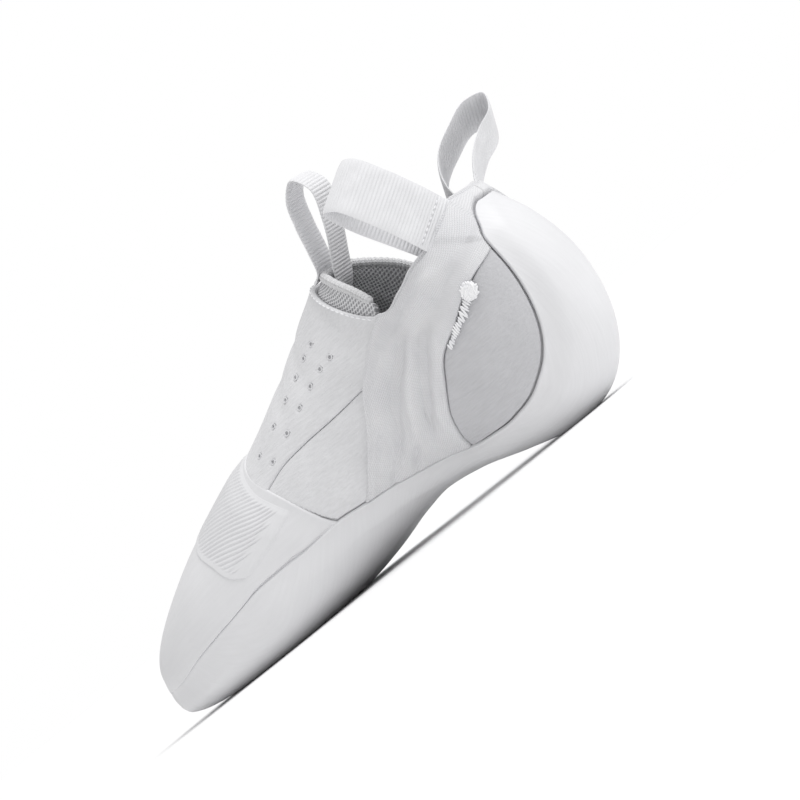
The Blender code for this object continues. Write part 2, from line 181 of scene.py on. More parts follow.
# Smooth curve through points, at shares of its length from 0 to 1. The points are along and turn, or lie in
# a plane where the metric is 1 both ways.
def curveThrough(points, share, metric=(sectionLength, turnLength)):
    points = np.asarray(points, float)
    place = pathLength(points * metric)
    at = share * place[-1]
    slope = np.gradient(points, place, axis=0)
    row = np.clip(np.searchsorted(place, at, side="right") - 1, 0, len(points) - 2)
    width = (place[row + 1] - place[row])[:, None]
    f = (at - place[row])[:, None] / width
    return hermite(f, points[row], points[row + 1], slope[row] * width, slope[row + 1] * width)


# Even steps from 0 to 1, drawn together at both ends by the share crowding.
def crowded(count, crowding):
    u = np.linspace(0, 1, count)
    return u - crowding * np.sin(2 * np.pi * u) / (2 * np.pi)


# Step from 0 at low to 1 at high: three times the square of the share less twice its cube.
def smoothStep(low, high, value):
    f = np.clip((value - low) / (high - low), 0, 1)
    return f * f * (3 - 2 * f)


# Soft ridge or trough: a bell curve of the distance over a width.
def bell(distance, width):
    return np.exp(-(distance / width) ** 2)


# Coons patch: the sum of the two ruled surfaces between opposite edges, less the bilinear surface through
# the corners. Edges are tables of along and turn, and the result is a grid of along and a grid of turn.
def coonsPatch(bottom, top, left, right, rows, columns, crowding):
    s, t = crowded(columns, crowding), crowded(rows, crowding)
    low, high = curveThrough(bottom, s)[None], curveThrough(top, s)[None]
    near, far = curveThrough(left, t)[:, None], curveThrough(right, t)[:, None]
    s, t = s[None, :, None], t[:, None, None]
    lowCorners = (1 - s) * low[:, :1] + s * low[:, -1:]
    highCorners = (1 - s) * high[:, :1] + s * high[:, -1:]
    grid = (1 - t) * (low - lowCorners) + t * (high - highCorners) + (1 - s) * near + s * far
    return grid[..., 0], grid[..., 1]


# Lengths in metres over a grid of points, along its columns and along its rows.
def gridLengths(points):
    down = np.linalg.norm(np.diff(points, axis=0), axis=-1)
    over = np.linalg.norm(np.diff(points, axis=1), axis=-1)
    down = np.concatenate((np.zeros((1, points.shape[1])), np.cumsum(down, axis=0)))
    over = np.concatenate((np.zeros((points.shape[0], 1)), np.cumsum(over, axis=1)), axis=1)
    return down, over


# Distance of each grid point from the nearest of the named edges of its grid.
def edgeDistance(points, edges):
    down, over = gridLengths(points)
    reach = {"bottom": down, "top": down[-1:] - down, "left": over, "right": over[:, -1:] - over}
    return np.min([reach[edge] for edge in edges], axis=0)


# Rounded edge: a quarter circle of the given radius, 0 at the edge and 1 from the radius inwards.
def roundedEdge(distance, radius):
    return np.sqrt(np.clip(1 - (1 - np.clip(distance / radius, 0, 1)) ** 2, 0, 1))


# Numbers of points that lie in closed rings, and the quads between each ring and the next.
def ringQuads(shape):
    number = np.arange(np.prod(shape)).reshape(shape)
    ahead = np.roll(number, -1, axis=-1)
    corners = (number[..., :-1, :], ahead[..., :-1, :], ahead[..., 1:, :], number[..., 1:, :])
    return number, np.stack(corners, -1).reshape(-1, 4)


def addObject(name, data):
    item = bpy.data.objects.new(name, data)
    bpy.context.scene.collection.objects.link(item)
    return item


def addPiece(name, points, faces, material, nodes=(), uv=None, sharp=45.0):
    mesh = bpy.data.meshes.new(name)
    mesh.from_pydata(points.reshape(-1, 3).tolist(), [], faces)
    if uv is not None:
        loopVertex = np.zeros(len(mesh.loops), np.int32)
        mesh.loops.foreach_get("vertex_index", loopVertex)
        layer = mesh.uv_layers.new(name="surfaceMetres")
        layer.data.foreach_set("uv", uv.reshape(-1, 2)[loopVertex].astype(np.float32).ravel())
    mesh.shade_smooth()
    mesh.set_sharp_from_angle(angle=np.radians(sharp))
    mesh.materials.append(material)
    piece = addObject(name, mesh)
    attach(piece, "root")
    if nodes:
        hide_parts(*nodes)
    print("made", name, sum(len(face) - 2 for face in faces), "triangles")
    return piece


# Closed slab between an outer and an inner grid of points, walled round the rim, with faces pointing out.
# Its UV map holds lengths on the outer face in metres, from the middle column on level rows where asked.
def addSlab(name, outer, inner, material, nodes=(), sharp=45.0, level=False):
    rows, columns = outer.shape[:2]
    count = rows * columns
    number = np.arange(count).reshape(rows, columns)
    corners = (number[:-1, :-1], number[:-1, 1:], number[1:, 1:], number[1:, :-1])
    quads = np.stack(corners, -1).reshape(-1, 4)
    rim = np.concatenate((number[0, :-1], number[:-1, -1], number[-1, :0:-1], number[:0:-1, 0]))
    ahead = np.roll(rim, -1)
    walls = np.stack((ahead, rim, rim + count, ahead + count), -1)
    faces = np.concatenate((quads, quads[:, ::-1] + count, walls))
    across = outer[:-1, 1:] - outer[:-1, :-1]
    downward = outer[1:, :-1] - outer[:-1, :-1]
    if np.sum(np.cross(across, downward) * (outer - inner)[:-1, :-1]) < 0:
        faces = faces[:, ::-1]
    down, over = gridLengths(outer)
    if level:
        over = over - over[:, columns // 2, None]
        down = np.broadcast_to(down.mean(axis=1, keepdims=True), over.shape)
    uv = np.stack((over, down), -1)
    points = np.concatenate((outer, inner))
    return addPiece(name, points, faces.tolist(), material, nodes, np.concatenate((uv, uv)), sharp)


# Tube: rings of the given radii round a path, with flat closed ends. Each ring lies in the plane of out and
# of the direction at right angles to out and the path.
def addTube(name, path, out, radius, material):
    upwards = np.cross(unit(np.gradient(path, axis=0)), out)
    angle = np.linspace(0, 2 * np.pi, radius.shape[1], endpoint=False)
    ring = np.cos(angle)[None, :, None] * out[:, None] + np.sin(angle)[None, :, None] * upwards[:, None]
    number, quads = ringQuads(radius.shape)
    uv = np.stack(np.broadcast_arrays(pathLength(path)[:, None], angle[None, :] * radius.mean()), -1)
    faces = quads.tolist() + [number[0][::-1].tolist(), number[-1].tolist()]
    return addPiece(name, path[:, None] + ring * radius[..., None], faces, material, (), uv)


# Stitches: each is an ellipsoid-like thread, its rings shrinking to the ends as the square root of a
# parabola. centres, runs and outs are one row per stitch; half holds half the length of each.
threadForm = {"rings": 7, "sides": 8, "end": 0.985}


def addStitches(name, centres, runs, outs, half, radius):
    place = np.linspace(-threadForm["end"], threadForm["end"], threadForm["rings"])
    angle = np.linspace(0, 2 * np.pi, threadForm["sides"], endpoint=False)[:, None]
    half = np.broadcast_to(half, len(centres))[:, None, None, None]
    body = runs[:, None, None] * (half * place[None, :, None, None])
    ring = np.cos(angle) * np.cross(outs, runs)[:, None, None] + np.sin(angle) * outs[:, None, None]
    points = centres[:, None, None] + body + ring * (radius * np.sqrt(1 - place ** 2))[None, :, None, None]
    number, quads = ringQuads(points.shape[:3])
    faces = quads.tolist() + np.concatenate((number[:, 0, ::-1], number[:, -1])).tolist()
    return addPiece(name, points, faces, whiteThread)


# Directions on the last at a place: along the shoe, round it and out of it.
def surfaceFrame(along, turn, lift=0.0):
    alongStep, turnStep = 0.04, 0.004
    forward = unit(lastPoint(along + alongStep, turn, lift) - lastPoint(along - alongStep, turn, lift))
    around = lastPoint(along, turn + turnStep, lift) - lastPoint(along, turn - turnStep, lift)
    out = unit(np.cross(around, forward))
    outwards = lastPoint(along, turn, lift + mm) - lastPoint(along, turn, lift)
    out = out * np.sign(np.sum(out * outwards, axis=-1, keepdims=True))
    return forward, np.cross(out, forward), out


# sRGB hex to linear light.
def toLinear(hexColour):
    value = np.array([int(hexColour[i:i + 2], 16) for i in (1, 3, 5)]) / 255
    value = np.where(value <= 0.04045, value / 12.92, ((value + 0.055) / 1.055) ** 2.4)
    return (*value.tolist(), 1.0)


# Joins inputs of a node to other nodes, by their first output, or to a single output.
def linkInputs(node, links):
    for key, source in dict(links).items():
        node.id_data.links.new(getattr(source, "outputs", [source])[0], node.inputs[key])


# Adds a node: settings are its own values or its inputs' defaults.
def addNode(tree, kind, settings=(), links=()):
    node = tree.nodes.new("ShaderNode" + kind)
    for key, value in dict(settings).items():
        if isinstance(key, int) or key in node.inputs:
            node.inputs[key].default_value = value
        else:
            setattr(node, key, value)
    linkInputs(node, links)
    return node


def newMaterial(name, settings):
    material = bpy.data.materials.new(name)
    material.use_nodes = True
    shader = material.node_tree.nodes["Principled BSDF"]
    for key, value in settings.items():
        shader.inputs[key].default_value = value
    return material, material.node_tree, shader


# Gentle change of tone over the piece: noise of the given size in millimetres between two colours.
def toneFrom(tree, size, low, high):
    place = addNode(tree, "TexCoord").outputs["Object"]
    noise = addNode(tree, "TexNoise", {"Scale": 1 / (size * mm), "Detail": 3.0}, {"Vector": place})
    ramp = addNode(tree, "ValToRGB", {}, {"Fac": noise})
    for stop, position, colour in zip(ramp.color_ramp.elements, (0.3, 0.7), (low, high)):
        stop.position = position
        stop.color = toLinear(colour)
    return ramp


# Multiplies a tone by a pattern, from dark in its hollows to 1 on its crests, and gives it to the shader.
# The darkening is painted shade in the pattern's hollows.
def shadedTone(tree, shader, tone, pattern, hollowShade, hollow=0.3, crest=0.65):
    shade = addNode(tree, "MapRange", {"From Min": hollow, "From Max": crest, "To Min": hollowShade, "To Max": 1.0},
                    {"Value": pattern})
    mixed = addNode(tree, "Mix", {"data_type": "RGBA", "blend_type": "MULTIPLY", 0: 1.0},
                    {6: tone, 7: shade})
    linkInputs(shader, {"Base Color": mixed.outputs[2]})


# Microfibre, a needled and buffed synthetic suede: matt, with a fine brushed grain that lies diagonally and
# a faint cloudiness. Grain is 0.7 mm wide and 5 mm long, a little coarser than the real nap so that it
# shows.
def microfibre(name, low, high, grainTurn=0.9):
    material, tree, shader = newMaterial(name, {"Roughness": 0.66, "IOR": 1.46, "Sheen Weight": 0.12,
                                                "Sheen Roughness": 0.5})
    place = addNode(tree, "TexCoord").outputs["Object"]
    turned = addNode(tree, "Mapping", {"Rotation": (0.2, grainTurn, 0.3), "Scale": (0.14, 1.0, 1.0)},
                     {"Vector": place})
    grain = addNode(tree, "TexNoise", {"Scale": 1 / (0.7 * mm), "Detail": 3.0}, {"Vector": turned})
    pores = addNode(tree, "TexNoise", {"Scale": 1 / (0.4 * mm), "Detail": 2.0}, {"Vector": place})
    height = addNode(tree, "Mix", {"data_type": "FLOAT", "Factor": 0.35}, {"A": grain, "B": pores})
    bump = addNode(tree, "Bump", {"Strength": 0.8, "Distance": 0.4 * mm}, {"Height": height})
    linkInputs(shader, {"Normal": bump})
    # Partly the grain's own streaks, partly painted shade: the colour darkens to 0.92 in the low parts of
    # the brushed grain.
    shadedTone(tree, shader, toneFrom(tree, 22, low, high), grain, 0.92)
    return material


# Climbing rubber, compression moulded and buffed along its length: satin, with a fine tooth of 0.45 mm from
# the mould, faint brushed strokes 1.4 mm wide that follow the shoe, and clouds of 9 mm that make its gloss
# uneven.
def mouldedRubber(name, low, high, roughness):
    material, tree, shader = newMaterial(name, {"IOR": 1.52})
    place = addNode(tree, "TexCoord").outputs["Object"]
    tooth = addNode(tree, "TexNoise", {"Scale": 1 / (0.45 * mm), "Detail": 2.0}, {"Vector": place})
    flow = addNode(tree, "TexNoise", {"Scale": 1 / (9 * mm), "Detail": 4.0}, {"Vector": place})
    surface = addNode(tree, "UVMap", {"uv_map": "surfaceMetres"})
    stretched = addNode(tree, "Mapping", {"Scale": (1.0, 0.1, 1.0)}, {"Vector": surface})
    strokes = addNode(tree, "TexNoise", {"Scale": 1 / (1.4 * mm), "Detail": 3.0}, {"Vector": stretched})
    gloss = addNode(tree, "MapRange", {"To Min": roughness - 0.06, "To Max": roughness + 0.10},
                    {"Value": flow})
    bump = addNode(tree, "Bump", {"Strength": 0.22, "Distance": 0.06 * mm}, {"Height": tooth})
    swell = addNode(tree, "Bump", {"Strength": 0.35, "Distance": 0.3 * mm},
                    {"Height": strokes, "Normal": bump})
    linkInputs(shader, {"Roughness": gloss, "Normal": swell})
    # Partly the strokes' own streaks, partly painted shade: the colour darkens to 0.975 in the hollows of
    # the brushed strokes.
    shadedTone(tree, shader, toneFrom(tree, 40, low, high), strokes, 0.975)
    return material


# Knit: rows of V-shaped loops. Height is a wave along the wale whose phase is drawn back towards the middle
# of each wale, so that the loops lean together. wale and course are their pitches in millimetres, drawn a
# little coarser than the real stitch so that they show, and bias turns them against the piece.
def knitCloth(name, low, high, wale, course, strength, depth, bias=0.0):
    material, tree, shader = newMaterial(name, {"Roughness": 0.86, "IOR": 1.45, "Sheen Weight": 0.2,
                                                "Sheen Roughness": 0.6})
    place = addNode(tree, "UVMap", {"uv_map": "surfaceMetres"})
    turned = addNode(tree, "Mapping", {"Rotation": (0, 0, bias)}, {"Vector": place})
    parts = addNode(tree, "SeparateXYZ", {}, {"Vector": turned}).outputs
    across = addNode(tree, "Math", {"operation": "MULTIPLY", 1: 1 / (wale * mm)}, {0: parts["X"]})
    share = addNode(tree, "Math", {"operation": "FRACT"}, {0: across})
    centred = addNode(tree, "Math", {"operation": "SUBTRACT", 1: 0.5}, {0: share})
    fold = addNode(tree, "Math", {"operation": "ABSOLUTE"}, {0: centred})
    upward = addNode(tree, "Math", {"operation": "MULTIPLY_ADD", 1: 1 / (course * mm)},
                     {0: parts["Y"], 2: fold})
    phase = addNode(tree, "Math", {"operation": "MULTIPLY", 1: 2 * np.pi}, {0: upward})
    loops = addNode(tree, "Math", {"operation": "SINE"}, {0: phase})
    valley = addNode(tree, "MapRange", {"From Min": 0.5, "From Max": 0.15, "To Min": -1.0, "To Max": 0.6,
                                        "interpolation_type": "SMOOTHSTEP"}, {"Value": fold})
    height = addNode(tree, "Math", {"operation": "MULTIPLY_ADD", 1: 0.6}, {0: loops, 2: valley})
    bump = addNode(tree, "Bump", {"Strength": strength, "Distance": depth * mm}, {"Height": height})
    linkInputs(shader, {"Normal": bump})
    # Painted shade: the colour darkens to 0.84 in the valleys between the loops.
    shadedTone(tree, shader, toneFrom(tree, 14, low, high), height, 0.84, -1.6, 1.2)
    return material


# Spacer mesh, an open warp knit: pale cords cross in diamonds over sunk holes, whose darker grey is painted
# shade. The holes are the product of two diagonal waves, with the given pitch in millimetres.
def spacerMesh(name, low, high, hole, pitch):
    material, tree, shader = newMaterial(name, {"Roughness": 0.82, "IOR": 1.45, "Sheen Weight": 0.15})
    place = addNode(tree, "UVMap", {"uv_map": "surfaceMetres"})
    parts = addNode(tree, "SeparateXYZ", {}, {"Vector": place}).outputs
    waves = []
    for way in ("ADD", "SUBTRACT"):
        diagonal = addNode(tree, "Math", {"operation": way}, {0: parts["X"], 1: parts["Y"]})
        phase = addNode(tree, "Math", {"operation": "MULTIPLY", 1: np.pi / (pitch * mm)}, {0: diagonal})
        wave = addNode(tree, "Math", {"operation": "SINE"}, {0: phase})
        waves.append(addNode(tree, "Math", {"operation": "ABSOLUTE"}, {0: wave}))
    product = addNode(tree, "Math", {"operation": "MULTIPLY"}, {0: waves[0], 1: waves[1]})
    holes = addNode(tree, "MapRange", {"From Min": 0.30, "From Max": 0.62,
                                       "interpolation_type": "SMOOTHSTEP"}, {"Value": product})
    bump = addNode(tree, "Bump", {"Strength": 0.8, "Distance": 0.5 * mm, "invert": True},
                   {"Height": product})
    # Painted shade: the holes take the darker grey hole colour.
    mixed = addNode(tree, "Mix", {"data_type": "RGBA", 7: toLinear(hole)},
                    {0: holes, 6: toneFrom(tree, 9, low, high)})
    linkInputs(shader, {"Normal": bump, "Base Color": mixed.outputs[2]})
    return material


# Polyester grosgrain: matt ribs across the tape, which are in the mesh, with yarns of 0.6 mm along it. A
# wave texture of scale 1 has 20 radians to the metre.
def grosgrain(name, low, high):
    material, tree, shader = newMaterial(name, {"Roughness": 0.72, "IOR": 1.5, "Sheen Weight": 0.15,
                                                "Sheen Roughness": 0.4})
    place = addNode(tree, "UVMap", {"uv_map": "surfaceMetres"})
    yarns = addNode(tree, "TexWave", {"Scale": 2 * np.pi / (20 * 0.6 * mm), "bands_direction": "X",
                                      "Distortion": 1.5, "Detail": 2.0, "Detail Scale": 2.0},
                    {"Vector": place})
    bump = addNode(tree, "Bump", {"Strength": 0.25, "Distance": 0.08 * mm}, {"Height": yarns.outputs["Fac"]})
    linkInputs(shader, {"Normal": bump, "Base Color": toneFrom(tree, 6, low, high)})
    return material


# Sewing thread, twisted polyester: slightly shiny, with its fibres as a fine uneven bump of 0.3 mm.
def sewingThread(name, low, high):
    material, tree, shader = newMaterial(name, {"Roughness": 0.5, "IOR": 1.5, "Sheen Weight": 0.1})
    place = addNode(tree, "TexCoord").outputs["Object"]
    fibres = addNode(tree, "TexNoise", {"Scale": 1 / (0.3 * mm), "Detail": 2.0}, {"Vector": place})
    bump = addNode(tree, "Bump", {"Strength": 0.3, "Distance": 0.06 * mm}, {"Height": fibres})
    linkInputs(shader, {"Normal": bump, "Base Color": toneFrom(tree, 3, low, high)})
    return material


vampMicrofibre = microfibre("vamp microfibre", "#dcdcde", "#e4e4e6")
quarterMicrofibre = microfibre("quarter microfibre", "#c3c3c6", "#cbcbce", 0.5)
liningMicrofibre = microfibre("lining microfibre", "#b4b4b7", "#bebec0")
holeShade = microfibre("shaded lining", "#cacacd", "#d2d2d4")
soleRubber = mouldedRubber("sole rubber", "#dedee0", "#e5e5e7", 0.44)
toeRubber = mouldedRubber("toe rubber", "#dddddf", "#e4e4e6", 0.46)
bandKnit = knitCloth("stretch band knit", "#e0e0e3", "#e8e8ea", 0.95, 0.85, 0.45, 0.16, 0.6)
collarKnit = knitCloth("collar knit", "#e0e0e3", "#e8e8ea", 0.95, 0.85, 0.45, 0.16)
# The tongue mesh's hole grey #9c9c9f is painted shade.
tongueMesh = spacerMesh("tongue spacer mesh", "#e2e2e4", "#eaeaec", "#9c9c9f", 1.7)
tongueBinding = knitCloth("tongue binding knit", "#dededf", "#e6e6e8", 1.2, 1.0, 0.6, 0.2)
insoleFelt = microfibre("insole felt", "#cfcfd1", "#d7d7d9")
loopGrosgrain = grosgrain("loop grosgrain", "#dfdfe1", "#e7e7e9")
whiteThread = sewingThread("white thread", "#ececef", "#f6f6f7")
print("materials made")

# Lining: the whole upper as one hollow wall, under the panels. Its rows fan round the ankle to the collar.
liningForm = {"rows": 128, "columns": 140, "toeCrowding": 1.15, "outerLift": -1.0 * mm, "fanStart": 8.0,
              "insideStart": 1.1}


def makeLining(form):
    start = form["fanStart"]
    steps = collarSection * np.linspace(0, 1, form["rows"])[:, None] ** form["toeCrowding"]
    turn = np.linspace(0, 1, form["columns"], endpoint=False)[None, :]
    fan = (readLine(collarLine, folded(turn)) - start) / (collarSection - start)
    along = np.where(steps > start, start + (steps - start) * fan, steps)
    inside = along + form["insideStart"] * (1 - along / collarSection) ** 4
    outer = lastPoint(along, turn, form["outerLift"])
    inner = lastPoint(inside, turn, -lastForm["wall"])
    number, quads = ringQuads(along.shape)
    first, last, ahead = number[0], number[-1], np.roll(number[-1], -1)
    lip = np.stack((last, last + number.size, ahead + number.size, ahead), -1)
    faces = np.concatenate((quads[:, ::-1], quads + number.size, lip)).tolist()
    caps = [first.tolist(), (first + number.size)[::-1].tolist()]
    points = np.concatenate((outer, inner))
    return addPiece("upper_lining", points, faces + caps, liningMicrofibre, ["upper"])


makeLining(liningForm)


# The same line on the lateral side.
def mirrored(line):
    return [(along, 1 - turn) for along, turn in line]


# Groove beside the rubber: panels dip in half a bell just outside the feather, slingshot and toe lines, and
# stay sunk under the rubber.
grooveForm = {"depth": 2.6 * mm, "width": 0.45 * mm, "away": 0.25 * mm, "cover": 0.3 * mm}

# Outline of the heel rubber's upper end, as points set close together.
outlineForm = {"start": 14.3, "sidePoints": 160, "topPoints": 40, "blend": (14.4, 15.0)}
heelEnd, heelEndTurn = slingshotLine[-1]
outlineAlong = np.linspace(outlineForm["start"], heelEnd, outlineForm["sidePoints"])
outlineTop = np.linspace(heelEndTurn, 0, outlineForm["topPoints"])
heelOutline = np.concatenate((np.stack((outlineAlong, readLine(slingshotLine, outlineAlong)), -1),
                              np.stack((np.full(outlineTop.shape, heelEnd), outlineTop), -1)))


# Distance outside the heel rubber: near its upper end the least distance to the outline's points, negative
# inside it, and further down the distance round the shoe.
def heelReach(along, side):
    reach = (side - readLine(slingshotLine, along)) * turnLength
    away = np.hypot((along[..., None] - heelOutline[:, 0]) * sectionLength,
                    (side[..., None] - heelOutline[:, 1]) * turnLength).min(axis=-1)
    near = np.where((reach < 0) & (along < heelEnd), -away, away)
    return reach + (near - reach) * smoothStep(*outlineForm["blend"], along)


def seamGroove(along, turn):
    side = folded(turn)
    sole = (side - readLine(featherLine, along)) * turnLength
    toe = (along - readLine(toeRubberLine, side)) * sectionLength
    reach = np.minimum(np.where(along < soleEnd, sole, heelReach(along, side)), toe) - grooveForm["away"]
    return -grooveForm["depth"] * bell(np.maximum(reach, 0), grooveForm["width"])


# Panel: a Coons patch over the lining with rounded edges. relief adds to its height and reads the patch:
# its along and turn, and the shares of its lengths across and upward.
panelForm = {"low": -1.1 * mm, "back": 0.3 * mm, "crowding": 0.75}


def addPanel(name, edges, form, material, slot, relief):
    form = {**panelForm, **form}
    along, turn = coonsPatch(*edges, form["rows"], form["columns"], form["crowding"])
    base = lastPoint(along, turn, 0.0)
    reach = edgeDistance(base, form["roundEdges"])
    if "buttTurn" in form:
        reach = np.where(folded(turn) < form["buttTurn"], edgeDistance(base, ("left", "top")), reach)
    down, over = gridLengths(base)
    patch = {"along": along, "turn": turn, "across": over / over[:, -1:], "upward": down / down[-1:]}
    low, top = form["low"], form["top"]
    height = np.maximum(seamGroove(along, turn) + relief(patch), low + grooveForm["cover"] - top)
    lift = low + (top + height - low) * roundedEdge(reach, form["radius"])
    inner = lastPoint(along, turn, low - form["back"])
    return addSlab(name, lastPoint(along, turn, lift), inner, material)


def addPanelPair(name, edges, *settings):
    addPanel(name + "_medial", edges, *settings)
    addPanel(name + "_lateral", [mirrored(edge) for edge in edges], *settings)


# Places where the panels end, as along and turn on the medial side. Lower ends lie under the rubber's edge.
underSole = 0.012
featherPlaces, turnPlaces = 7, 13


def onFeather(start, end):
    along = np.linspace(start, end, featherPlaces)
    return list(zip(along, readLine(featherLine, along) - underSole))


# Part of the collar's or the toe rubber's line, drawn back towards the toe by drop.
def onLine(line, start, end, drop):
    turn = np.linspace(start, end, turnPlaces)
    return list(zip(readLine(line, folded(turn)) - drop, turn))


# A side edge between two others: its ends are moved to the corners that they share.
def joinedTo(line, bottom, top, end=0):
    return [bottom[end], *line[1:-1], top[end]]


bandFront = [(7.40, 0.160), (7.75, 0.190), (8.12, 0.220), (8.78, 0.262), (9.85, 0.309), (11.48, 0.330),
             (12.60, 0.328)]
quarterFront = [(9.55, 0.106), (9.85, 0.165), (10.33, 0.212), (11.0, 0.242), (11.73, 0.257), (12.78, 0.253),
                (13.68, 0.223), (14.35, 0.175), (14.90, 0.112)]
vampSide = [(6.30, 0.345), (6.83, 0.338), (7.50, 0.322), (8.12, 0.308), (8.80, 0.300), (9.60, 0.301),
            (10.6, 0.312), (11.60, 0.318), (12.80, 0.322)]
sideTop = [(6.00, 0.345), (6.83, 0.338), (7.50, 0.322), (8.12, 0.308), (8.80, 0.300), (9.60, 0.301)]
sideFront = [(6.60, 0.212), (6.35, 0.275), (6.00, 0.345)]
sideRear = [(7.45, 0.160), (7.80, 0.190), (8.17, 0.220), (8.83, 0.262), (9.60, 0.301)]


# Vamp: perforated panel over the instep, with two soft creases across it and one along either side. The
# holes are two staggered columns on either side, drawn as dimples.
vampForm = {"rows": 140, "columns": 180, "top": 0.5 * mm, "radius": 0.9 * mm, "crowding": 0.5,
            "roundEdges": ("top", "left", "right"), "toeOverlap": 0.25,
            "holeDepth": 1.2 * mm, "holeFlank": (1.1875 * mm, 0.57 * mm),
            "creaseAlong": (7.35, 8.35), "creaseDepth": 0.5 * mm, "creaseWidth": 0.22, "creaseSlant": 1.2,
            "creaseMiddle": 0.42, "creaseFrom": (0.33, 0.40),
            "sideTurn": 0.350, "sideDepth": 1.0 * mm, "sideWidth": 0.016, "sideFrom": (9.3, 10.6)}
holeColumns = {"turns": (0.394, 0.358), "starts": (6.45, 6.72), "step": 0.57, "count": 6}
holePlaces = np.array([(start + k * holeColumns["step"], side * turn % 1.0)
                       for turn, start in zip(holeColumns["turns"], holeColumns["starts"])
                       for k in range(holeColumns["count"]) for side in (1, -1)])
holeCentres = lastPoint(holePlaces[:, 0], holePlaces[:, 1], 0.0)


def vampRelief(patch):
    form, along, side = vampForm, patch["along"], folded(patch["turn"])
    points = lastPoint(along, patch["turn"], 0.0)
    reach = np.min([np.linalg.norm(points - centre, axis=-1) for centre in holeCentres], axis=0)
    holes = form["holeDepth"] * smoothStep(*form["holeFlank"], reach)
    slanted = along - form["creaseSlant"] * (side - form["creaseMiddle"])
    bend = sum(bell(slanted - at, form["creaseWidth"]) for at in form["creaseAlong"])
    beside = bell(side - form["sideTurn"], form["sideWidth"]) * smoothStep(*form["sideFrom"], along)
    creases = form["creaseDepth"] * bend * smoothStep(*form["creaseFrom"], side)
    return -holes - creases - form["sideDepth"] * beside


vampBottom = onLine(toeRubberLine, 0.345, 0.655, vampForm["toeOverlap"])
vampTop = onLine(collarLine, 0.322, 0.678, -0.02)
vampLeft = joinedTo(vampSide, vampBottom, vampTop)
vampEdges = (vampBottom, vampTop, vampLeft, mirrored(vampLeft))
addPanel("vamp", vampEdges, vampForm, vampMicrofibre, "microfibre", vampRelief)

# Holes: a closed body of revolution in each dimple, with a thin lip on the vamp and a shaded floor inside.
# Radii and heights are in millimetres.
holeForm = {"radii": (0.95, 1.15, 0.80, 0.72, 0.66), "heights": (-1.30, 0.05, 0.08, -0.10, -0.60),
            "sides": 16, "shadedFrom": 2}


def makeHoles(form, level):
    radii, heights = np.array(form["radii"]) * mm, np.array(form["heights"]) * mm + level
    forward, around, out = surfaceFrame(holePlaces[:, 0], holePlaces[:, 1])
    angle = np.linspace(0, 2 * np.pi, form["sides"], endpoint=False)[:, None]
    ring = np.cos(angle) * forward[:, None] + np.sin(angle) * around[:, None]
    points = holeCentres[:, None, None] + radii[None, :, None, None] * ring[:, None]
    points = points + heights[None, :, None, None] * out[:, None, None]
    number, quads = ringQuads(points.shape[:3])
    caps = np.concatenate((number[:, 0, ::-1], number[:, -1]))
    holes = addPiece("vamp_holes", points, quads.tolist() + caps.tolist(), vampMicrofibre)
    holes.data.materials.append(holeShade)
    shaded = np.arange(len(radii) - 1)[None, :, None] >= form["shadedFrom"]
    shaded = np.broadcast_to(shaded, (len(points), len(radii) - 1, form["sides"]))
    floors = np.arange(len(caps)) >= len(caps) // 2
    index = np.concatenate((shaded.ravel(), floors)).astype(np.int32)
    holes.data.polygons.foreach_set("material_index", index)


makeHoles(holeForm, vampForm["top"])

# Side panels: smooth microfibre between vamp, toe rubber, sole and stretch band, swollen by a bell
# across times half a sine upward.
sideForm = {"rows": 90, "columns": 70, "top": 0.15 * mm, "radius": 0.7 * mm, "roundEdges": ("top", "right"),
            "swell": 0.35 * mm, "swellAt": 0.55, "swellWidth": 0.3}


def sideRelief(patch):
    swell = bell(patch["across"] - sideForm["swellAt"], sideForm["swellWidth"])
    return sideForm["swell"] * swell * np.sin(np.pi * patch["upward"])


sideBottom = onFeather(6.60, 7.45)
sideEdges = (sideBottom, sideTop, joinedTo(sideFront, sideBottom, sideTop),
             joinedTo(sideRear, sideBottom, sideTop, -1))
addPanelPair("side_panel", sideEdges, sideForm, vampMicrofibre, "microfibre", sideRelief)

